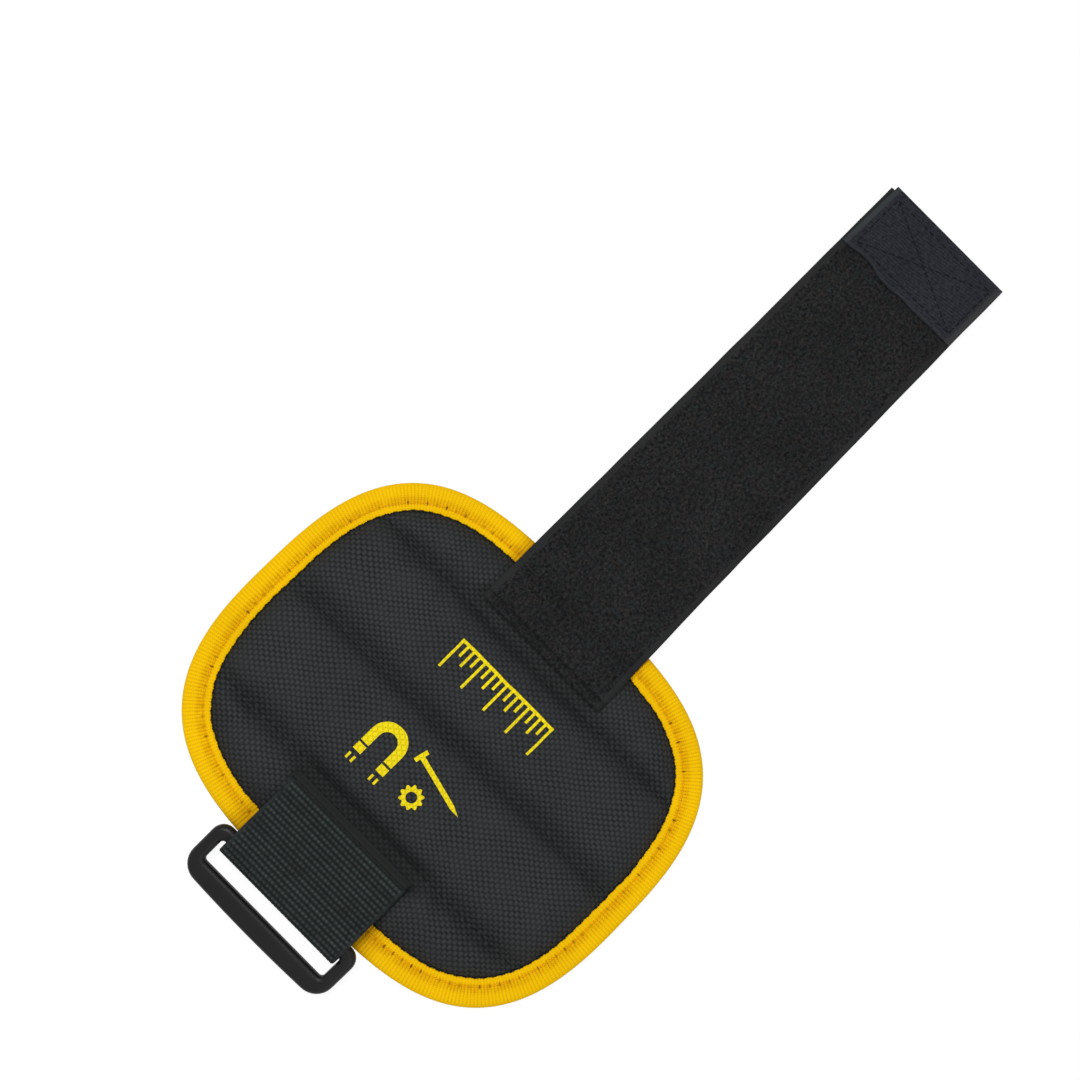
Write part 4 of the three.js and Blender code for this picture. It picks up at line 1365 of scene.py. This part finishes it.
class WRISTBAND_OT_binding(bpy.types.Operator):
    """Ribbed tape folded over the pad's edge, with one line of stitches"""

    bl_idname = "wristband.binding"
    bl_label = "Binding tape"

    def execute(self, context):
        pad = pad_settings()
        radius, width = EDGE_THICKNESS / 2, pad.binding_width
        stitch_inset = width - STITCH_INSET
        ribs = round(PERIMETER / pad.rib_pitch)
        stitches_round = round(PERIMETER / pad.stitch_pitch)
        points_per_rib = 5
        section, outer_count = binding_section()
        closed = [*section, section[0]]
        steps = [math.dist(a, b) for a, b in zip(closed, closed[1:])]
        runs = np.concatenate([[0], np.cumsum(steps)])
        rib_depth, dent, swell, pull, sway = 0.07 * MM, 0.3 * MM, 0.1 * MM, 0.1 * MM, 0.23 * MM
        fine, coarse = 160, 55

        def place(s, t):
            run = s * PERIMETER
            k = round(t * (len(closed) - 1))
            inset, z = closed[k]
            point, inward = along_outline(run)
            rib = math.cos(2 * math.pi * s * ribs)
            uneven = noise(Vector((*point * fine, 3.0))) + noise(Vector((*point * coarse, 8.0)))
            if inset > width - 0.2 * MM:
                pulled = math.cos(2 * math.pi * s * stitches_round)
                inset += rib_depth * rib + pull * pulled + sway * uneven
            if k < outer_count or k == len(closed) - 1:
                lift = rib_depth * (rib - 1)
                if z > radius and inset > radius:
                    crown = math.sin(math.pi * clamped((inset - radius) / (stitch_inset - radius)))
                    z += lift - dent * bell(inset - stitch_inset, 0.7 * MM) + swell * crown
                elif z < radius and inset > radius:
                    z += dent * bell(inset - stitch_inset, 0.8 * MM) - lift
                else:
                    away = Vector((inset - radius, z - radius)).normalized()
                    inset += 0.4 * away.x * lift
                    z += 0.4 * away.y * lift
            x = PAD_X + point.x + inward.x * inset
            y = point.y + inward.y * inset
            return (x, y, z), (run, float(runs[k]))

        shape = cloth_grid(ribs * points_per_rib, len(section), place)
        bmesh.ops.remove_doubles(shape, verts=shape.verts, dist=WELD)
        outward(shape)
        whole = to_object(shape, "binding_whole", binding_finish())
        pieces = split_at(whole, PANEL_MIDDLES, [f"binding_{part}" for part in PAD_PARTS])
        nodes = [
            ["binding_tape_1", "binding_tape_2_left", "binding_tape_2_right"],
            ["binding_tape_3_left", "binding_tape_3_right"],
            ["binding_tape_4"],
        ]
        for piece, stood_for in zip(pieces, nodes):
            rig.replaces(piece, *stood_for)
            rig.slot(piece, "binding_tape")
        bend_pad_pieces(pieces)

        groups = [bmesh.new() for _ in PAD_PARTS]
        for k in range(stitches_round):
            ends = []
            for share in (k + 0.14, k + 0.86):
                point, inward = along_outline(share / stitches_round * PERIMETER)
                ends.append((PAD_X + point.x + inward.x * stitch_inset, point.y + inward.y * stitch_inset))
            centre = (ends[0][0] + ends[1][0]) / 2
            which = sum(centre > cut for cut in PANEL_MIDDLES)
            for height, lift in ((EDGE_THICKNESS - 0.22 * MM, 0.26 * MM), (0.28 * MM, -0.12 * MM)):
                add_thread(groups[which], *[(*end, height) for end in ends], lift, 0.25 * MM)
        finish = thread_finish("binding_thread", (0.9, 0.46, 0.003))
        stitches = [to_object(shape, f"stitches_{part}", finish) for shape, part in zip(groups, PAD_PARTS)]
        for piece in stitches:
            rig.slot(piece, "binding_tape")
        bend_pad_pieces(stitches)
        return {"FINISHED"}


# Webbing tab


@functools.lru_cache(maxsize=None)
def polyline_at(line, run):
    """Place and direction at a distance along a line of points in X and Z, and its length."""
    points = np.array(line)
    steps = np.hypot(*(points[1:] - points[:-1]).T)
    runs = np.concatenate([[0], np.cumsum(steps)])
    near = 0.4 * MM
    places = (run, min(run + near, runs[-1]), max(run - near, 0))
    here, ahead, behind = [[float(np.interp(p, runs, points[:, k])) for k in (0, 1)] for p in places]
    direction = Vector((ahead[0] - behind[0], ahead[1] - behind[1])).normalized()
    return here, direction, float(runs[-1])


def near_height(x):
    """The highest that the pad stands near this place on the band's centre line."""
    near = 2 * MM
    binding_start = HALF_LENGTH - pad_settings().binding_width - LAYER_GAP
    places = [x + share * near for share in (-1, -0.5, 0, 0.5, 1)]
    heights = [cover_height(p, 0.0) for p in places if abs(p - PAD_X) <= binding_start]
    if abs(x - PAD_X) > binding_start - near:
        heights.append(EDGE_THICKNESS)
    return max(heights)


def arc(x, z, radius, start, turn, steps):
    """Points on part of a circle about x and z."""
    turns = [start + turn * k / steps for k in range(steps + 1)]
    return [(x + radius * math.cos(a), z + radius * math.sin(a)) for a in turns]


def tab_line():
    """Centre line of the webbing, from its upper sewn end round the ring's bar and back below."""
    half = WEBBING_THICKNESS / 2
    rise = LAYER_GAP + half
    upper_rise = rise + WEBBING_THICKNESS + LAYER_GAP
    tab_radius = math.hypot(*BAR_CORNER) + BAR_ROUND + BAR_ROOM + half
    binding_radius = EDGE_THICKNESS / 2 + LAYER_GAP + half
    fold_x = TAB_LOW.x + tab_radius + half
    fold_top = RING_AXIS.z + tab_radius
    binding_end = PAD_LOW_X + pad_settings().binding_width + LAYER_GAP
    crown_x = binding_end + (VALLEYS[0] - binding_end) * 0.55
    quarter, steps = math.pi / 2, 12

    # Over the pad, and down to the fold
    line = []
    for k in range(steps + 1):
        x = TAB_HIGH.x + (crown_x - TAB_HIGH.x) * k / steps
        line.append((x, near_height(x) + upper_rise))
    crown_top = line[-1][1]
    for k in range(1, steps):
        share = k / steps
        line.append((crown_x + (fold_x - crown_x) * share, crown_top + (fold_top - crown_top) * eased(share)))

    # Round the bar, over the binding and back under itself
    line += arc(fold_x, RING_AXIS.z, tab_radius, quarter, math.pi, 20)
    binding_x, binding_z = PAD_LOW_X + EDGE_THICKNESS / 2, EDGE_THICKNESS / 2
    reach = math.hypot(binding_x - RING_AXIS.x, RING_AXIS.z - binding_z)
    towards = math.atan2(binding_z - RING_AXIS.z, binding_x - RING_AXIS.x)
    slant = towards + math.asin(min(1.0, (tab_radius + binding_radius) / reach))
    line += arc(RING_AXIS.x, RING_AXIS.z, tab_radius, 3 * quarter, slant, 8)
    line += arc(binding_x, binding_z, binding_radius, quarter + slant, -slant, 8)
    lower_end, lower_steps = TAB_HIGH.x - 1.5 * MM, 14
    for k in range(1, lower_steps + 1):
        x = binding_x + (lower_end - binding_x) * k / lower_steps
        line.append((x, near_height(x) + rise))
    return tuple(line)


def ripple(value):
    """0 at every whole number and 1 midway."""
    return 0.5 - 0.5 * math.cos(2 * math.pi * value)


class WRISTBAND_OT_tab(bpy.types.Operator):
    """Ribbed webbing folded round the ring's inner bar and sewn to the pad"""

    bl_idname = "wristband.tab"
    bl_label = "Webbing tab"

    def execute(self, context):
        line = tab_line()
        length = polyline_at(line, 0)[2]
        pitch = strap_settings().webbing_rib_pitch
        base = WEBBING_THICKNESS / 2 - 0.2 * MM

        def off_line(run, y, out):
            (x, z), direction, _ = polyline_at(line, run)
            normal = Vector((direction.y, -direction.x))
            return (x + normal.x * out, y, z + normal.y * out)

        def at_selvedge(y):
            return abs(abs(y) - TAB_HALF) < 0.3 * MM

        def place(s, t):
            run, y = s * length, (2 * t - 1) * TAB_HALF
            row = run / pitch
            odd = 0.5 * (math.floor(row) % 2)
            inner = min(1.0, (TAB_HALF - abs(y)) / (2 * MM))
            side = y + 0.4 * MM * inner * noise(Vector((run * 260, y * 90, 2.0)))
            bead = ripple(side / WEBBING_BEAD + odd)
            lift = (-0.1 + 0.4 * ripple(row) * (0.55 + 0.45 * bead)) * MM
            if run < SEWN_HEM:
                lift = 0.1 * MM - 0.25 * MM * bell(run - SEWN_HEM, 0.5 * MM)
            out = 0.1 * MM if at_selvedge(y) else base + lift
            return off_line(run, y + TAB_SHIFT, out), (run, side)

        columns, rows = round(length / (0.24 * MM)), 124
        shape = cloth_grid(columns, rows, place)
        lower = extruded(shape)
        uv = shape.loops.layers.uv.active
        for vert in lower:
            run, y = vert.link_loops[0][uv].uv
            depth = (0.1 if at_selvedge(y) else 0.5) * MM
            vert.co = off_line(run, vert.co.y, -depth)
        outward(shape)
        piece = to_object(shape, "ribbed_tab", webbing_finish())
        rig.replaces(piece, "webbing_tab")
        (x, z), _, _ = polyline_at(line, SEWN_HEM)
        seam = bmesh.new()
        ends = [(x, TAB_SHIFT + side * (TAB_HALF - 1 * MM)) for side in (-1, 1)]
        stitch_row(seam, *ends, lambda x, y: z + base, 3.2 * MM)
        stitches = to_object(seam, "tab_stitches", thread_finish("tab_thread", (0.024, 0.023, 0.022)))
        for made in (piece, stitches):
            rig.slot(made, "webbing")
            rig.ride(made, "panel_1")
        return {"FINISHED"}


# Ring


bevel = functools.partial(bmesh.ops.bevel, profile=0.5, material=-1)


def rounded(low, high, reach, radius, far_radius, bulge):
    """An outline with two rounded corners at each end, its far side bowed out."""
    shape = bmesh.new()
    corners = [shape.verts.new((x, y, 0)) for x in (low, high) for y in (-reach, reach)]
    shape.faces.new([corners[k] for k in (0, 2, 3, 1)])
    for side, round_off in ((high, radius), (low, far_radius)):
        places = [(side, -reach), (side, reach)]
        sharp = [v for v in shape.verts if min(math.dist(v.co.xy, p) for p in places) < WELD]
        bevel(shape, geom=sharp, offset=round_off, affect="VERTICES", segments=8)
    bmesh.ops.delete(shape, geom=shape.faces[:], context="FACES_ONLY")
    along_y = [e for e in shape.edges if abs(e.verts[0].co.x - e.verts[1].co.x) < WELD]
    long_edges = [e for e in along_y if e.calc_length() > reach]
    bmesh.ops.subdivide_edges(shape, edges=long_edges, cuts=11)
    for vert in shape.verts:
        if abs(vert.co.x - low) < 10 * WELD:
            vert.co.x -= bulge * max(0.0, 1 - (vert.co.y / (reach - far_radius)) ** 2)
    return shape


class WRISTBAND_OT_ring(bpy.types.Operator):
    """Moulded rectangular ring with rounded edges"""

    bl_idname = "wristband.ring"
    bl_label = "Ring"

    def execute(self, context):
        inner_bar, outer_bar, side_bar = 4.6 * MM, 6.9 * MM, 4.5 * MM
        slot_width, slot_length, slot_round = 8.6 * MM, 50.6 * MM, 1.2 * MM
        inner_round, outer_round = 4.5 * MM, 6.9 * MM
        half = slot_length / 2 + side_bar
        bow = 0.5 * MM
        edge_round = 1.7 * MM
        inner_edge, slot_edge = inner_bar / 2, -inner_bar / 2 - slot_width
        outer = rounded(slot_edge - outer_bar, inner_edge, half, inner_round, outer_round, bow)
        inner = rounded(slot_edge, -inner_edge, slot_length / 2, slot_round, slot_round, 0.0)
        shape = bmesh.new()
        for part in (outer, inner):
            keep = bpy.data.meshes.new("ring_outline")
            part.to_mesh(keep)
            part.free()
            shape.from_mesh(keep)
            bpy.data.meshes.remove(keep)
        bmesh.ops.bridge_loops(shape, edges=shape.edges[:])
        for vert in extruded(shape):
            vert.co.z += RING_THICKNESS
        bmesh.ops.translate(shape, verts=shape.verts, vec=(0, 0, -RING_THICKNESS / 2))
        outward(shape)

        def at_rim(edge):
            """Whether a level edge lies between a flat face and a side."""
            level = abs(edge.verts[0].co.z - edge.verts[1].co.z) < WELD
            return level and sum(abs(face.normal.z) for face in edge.link_faces) < 1.5

        rims = [edge for edge in shape.edges if at_rim(edge)]
        bevel(shape, geom=rims, offset=edge_round, affect="EDGES", segments=6)

        # Leans until the rounded edge of its outer bar stands on the table
        reach = inner_bar / 2 + slot_width + outer_bar + bow - edge_round
        drop = RING_AXIS.z - TABLE - edge_round
        flat = RING_THICKNESS / 2 - edge_round
        tilt = math.asin(drop / math.hypot(reach, flat)) - math.atan2(flat, reach)
        lean = Matrix.Rotation(-tilt, 3, "Y")
        bmesh.ops.rotate(shape, verts=shape.verts, cent=(0, 0, 0), matrix=lean)
        bmesh.ops.translate(shape, verts=shape.verts, vec=RING_AXIS + Vector((0, RING_SHIFT, 0)))
        piece = to_object(shape, "moulded_ring", ring_finish())
        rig.replaces(piece, "ring")
        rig.slot(piece, "ring_plastic")
        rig.ride(piece, "ring")
        return {"FINISHED"}


# Strap and hook patch


def strap_middle(x):
    """Height of the strap's centre line."""
    settling = 27 * MM
    on_pad = near_height(min(x, PAD_HIGH_X)) + LAYER_GAP + STRAP_HALF_THICKNESS
    share = eased((x - PAD_HIGH_X + EDGE_THICKNESS / 2) / settling)
    return on_pad + (STRAP_HALF_THICKNESS - on_pad) * share


def strap_lean(x, y):
    """How far the strap lies off its centre line, widest where it leaves the pad."""
    straight, tip_start = 140 * MM, 90 * MM
    near_pad = clamped((straight - x) / (straight - PAD_HIGH_X))
    near_tip = clamped((x - tip_start) / (STRAP_TIP - tip_start))
    side = 0.5 + y / strap_settings().strap_width
    return (-1.5 + 0.9 * side) * MM * near_pad + 0.25 * MM * side * near_tip


def strap_section():
    """Section of the loop tape, with fine steps over its pile: sides and heights."""
    strap = strap_settings()
    half, edge, thick, steps = strap.strap_width / 2, strap.selvedge, STRAP_HALF_THICKNESS, 72
    pile = [half - edge - (2 * half - 2 * edge) * k / steps for k in range(steps + 1)]
    rim = [(half, 0.0), (half - 0.2 * MM, 0.45 * MM), (half - edge * 0.5, 0.5 * MM)]
    below = [(half - 0.2 * MM, -0.9 * MM), (half - 3 * MM, -thick)]
    other_rim = [(-y, z) for y, z in reversed(rim)]
    other_below = [(-y, z) for y, z in below]
    return [*rim, *[(y, thick) for y in pile], *other_rim, *other_below, (0, -thick), *reversed(below)]


class WRISTBAND_OT_strap(bpy.types.Operator):
    """Loop tape sewn over the outer channel and free beyond the pad"""

    bl_idname = "wristband.strap"
    bl_label = "Strap"

    def execute(self, context):
        strap = strap_settings()
        half = strap.strap_width / 2
        length = STRAP_TIP - STRAP_START
        section = strap_section()
        closed = [*section, section[0]]
        near = 0.5 * MM

        @functools.lru_cache(maxsize=None)
        def middle_at(x):
            ahead, behind = strap_middle(x + near), strap_middle(x - near)
            return strap_middle(x), Vector(((behind - ahead) / (2 * near), 1.0)).normalized()

        def place(s, t):
            x = STRAP_START + s * length
            middle, normal = middle_at(x)
            y, z = closed[round(t * (len(closed) - 1))]
            if z > 0.9 * MM:
                z += 0.14 * MM * noise(Vector((x * 1500, y * 1500, 0.0)))
            wobble = 0.12 * MM * noise(Vector((x * 70, math.copysign(4.0, y), 0.0)))
            beside = y + strap_lean(x, y) + (wobble if abs(y) > half - strap.selvedge else 0.0)
            past_hooks = max(0.0, (x - HOOK_LOW.x) / (STRAP_TIP - HOOK_LOW.x))
            cut_back = 0.8 * MM * (0.5 + y / (2 * half)) * past_hooks
            return (x + normal.x * z - cut_back, beside, middle + normal.y * z), (x - STRAP_START, y)

        shape = cloth_grid(round(length / (0.62 * MM)), len(section), place)
        bmesh.ops.remove_doubles(shape, verts=shape.verts, dist=WELD)
        bmesh.ops.holes_fill(shape, edges=[e for e in shape.edges if e.is_boundary], sides=0)
        outward(shape)
        whole = to_object(shape, "strap_whole", loop_pile_finish())
        cuts = [(a + b) / 2 for a, b in zip(STRAP_BENDS, STRAP_BENDS[1:])]
        names = ["strap_root_cloth", "strap_cloth_2", "strap_cloth_3", "strap_cloth_4", "strap_tip_cloth"]
        pieces = split_at(whole, cuts, names)
        bodies = ["panel_4", "strap_1", "strap_2", "strap_3", "strap_4", "strap_tip"]
        nodes = [["strap_root", "strap_1"], ["strap_2"], ["strap_3"], ["strap_4"], ["strap_tip"]]
        reach = 10 * MM
        ranges = [(bend - reach, bend + reach) for bend in STRAP_BENDS]
        ranges[0] = (PAD_HIGH_X - 1.5 * MM, PAD_HIGH_X + reach)
        ranges[-1] = (STRAP_BENDS[-1] - reach, HOOK_LOW.x)
        for k, (piece, stood_for) in enumerate(zip(pieces, nodes)):
            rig.replaces(piece, *stood_for)
            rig.slot(piece, "loop_tape")
            bend_over(piece, bodies[k], bodies[k + 1], *ranges[k])

        seam = bmesh.new()
        across = STRAP_START + SEWN_HEM
        ends = [(across, y + strap_lean(across, y)) for y in (1.2 * MM - half, half - 1.2 * MM)]
        stitch_row(seam, *ends, lambda x, y: strap_middle(x) + 0.95 * MM, 3.4 * MM)
        stitches = to_object(seam, "strap_stitches", thread_finish("strap_thread", (0.008, 0.008, 0.009)))
        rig.slot(stitches, "loop_tape")
        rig.ride(stitches, "panel_4")
        return {"FINISHED"}


class WRISTBAND_OT_hook_patch(bpy.types.Operator):
    """Hook tape sewn to the tip of the strap with a boxed cross"""

    bl_idname = "wristband.hook_patch"
    bl_label = "Hook patch"

    def execute(self, context):
        length = HOOK_HIGH.x - HOOK_LOW.x + PATCH_OVERHANG
        top = HOOK_HIGH.z - 0.15 * MM
        selvedge, hem = 2.2 * MM, 0.3 * MM

        def border(y):
            """How far the edge toward the strap bulges out."""
            bulges = ((-1.0, 13.8, 4.5), (0.8, 4.3, 5.0), (0.3, -9.0, 5.0))
            wave = sum(far * bell(y / MM - at, wide) for far, at, wide in bulges)
            return wave * MM + 0.15 * MM * noise(Vector((y * 300, 1.0, 0.0)))

        def place(s, t):
            y = -PATCH_HALF + (PATCH_HALF + PATCH_SIDE) * t
            x = HOOK_HIGH.x + PATCH_OVERHANG - (1 - s) * (length + border(y))
            z = HOOK_LOW.z + 0.55 * MM
            if min(PATCH_HALF + y, PATCH_SIDE - y) > selvedge and min(s, 1 - s) * length > hem:
                z = top + 0.12 * MM * noise(Vector((x * 1400, y * 1400, 5.0)))
            return (x, y + PATCH_SKEW * (1 - s) * t, z), (s * length, y)

        shape = cloth_grid(44, 84, place)
        for vert in extruded(shape):
            vert.co.z = HOOK_LOW.z
        outward(shape)
        piece = to_object(shape, "hook_tape_patch", hook_tape_finish())
        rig.replaces(piece, "hook_patch")

        seam = bmesh.new()
        left, right = HOOK_LOW.x + PATCH_SEAM - 0.6 * MM, HOOK_HIGH.x - PATCH_SEAM
        bottom, upper = PATCH_SEAM - PATCH_HALF, PATCH_SIDE - PATCH_SEAM
        corners = [(left, bottom), (right, bottom), (right, upper), (left, upper)]
        for start, end in (*zip(corners, [*corners[1:], corners[0]]), corners[::2], corners[1::2]):
            stitch_row(seam, start, end, lambda x, y: top + 0.02 * MM, 2.8 * MM, 0.2 * MM, 0.2 * MM)
        stitches = to_object(seam, "hook_stitches", thread_finish("hook_thread", (0.011, 0.012, 0.014)))
        for made in (piece, stitches):
            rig.slot(made, "hook_tape")
            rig.ride(made, "strap_tip")
        return {"FINISHED"}


# Magnets


class WRISTBAND_OT_magnets(bpy.types.Operator):
    """Nickel plate on the magnets inside the two middle channels"""

    bl_idname = "wristband.magnets"
    bl_label = "Magnets"

    def execute(self, context):
        material = magnet_finish()
        for name, node in frame["nodes"].items():
            if name.startswith("magnet"):
                node.data.materials.clear()
                node.data.materials.append(material)
        return {"FINISHED"}


# Panel and registration

STEPS = ("stage", "cover", "lining", "binding", "tab", "ring", "strap", "hook_patch", "magnets")


class WRISTBAND_PT_panel(bpy.types.Panel):
    """Lists what can be built"""

    bl_label = "Magnetic wristband"
    bl_space_type = "VIEW_3D"
    bl_region_type = "UI"
    bl_category = "Wristband"

    def draw(self, context):
        for step in STEPS:
            self.layout.operator(f"wristband.{step}")
        for settings in (pad_settings(), strap_settings(), stage_settings()):
            box = self.layout.box()
            for name in settings.__annotations__:
                box.prop(settings, name)


CLASSES = (
    WristbandPadSettings,
    WristbandStrapSettings,
    WristbandStageSettings,
    WRISTBAND_OT_stage,
    WRISTBAND_OT_cover,
    WRISTBAND_OT_lining,
    WRISTBAND_OT_binding,
    WRISTBAND_OT_tab,
    WRISTBAND_OT_ring,
    WRISTBAND_OT_strap,
    WRISTBAND_OT_hook_patch,
    WRISTBAND_OT_magnets,
    WRISTBAND_PT_panel,
)


def register():
    for item in CLASSES:
        bpy.utils.register_class(item)
    bpy.types.Scene.wristband_pad = PointerProperty(type=WristbandPadSettings)
    bpy.types.Scene.wristband_strap = PointerProperty(type=WristbandStrapSettings)
    bpy.types.Scene.wristband_stage = PointerProperty(type=WristbandStageSettings)


def unregister():
    del bpy.types.Scene.wristband_stage
    del bpy.types.Scene.wristband_strap
    del bpy.types.Scene.wristband_pad
    for item in reversed(CLASSES):
        bpy.utils.unregister_class(item)


def main():
    register()
    for step in STEPS:
        getattr(bpy.ops.wristband, step)()
    plain = [[list(map(float, corner)) for corner in box] for box in (cad_bounds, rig.bounds())]
    with open("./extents.json", "w") as out:
        json.dump({"cad": plain[0], "visual": plain[1]}, out)


if __name__ == "__main__":
    main()
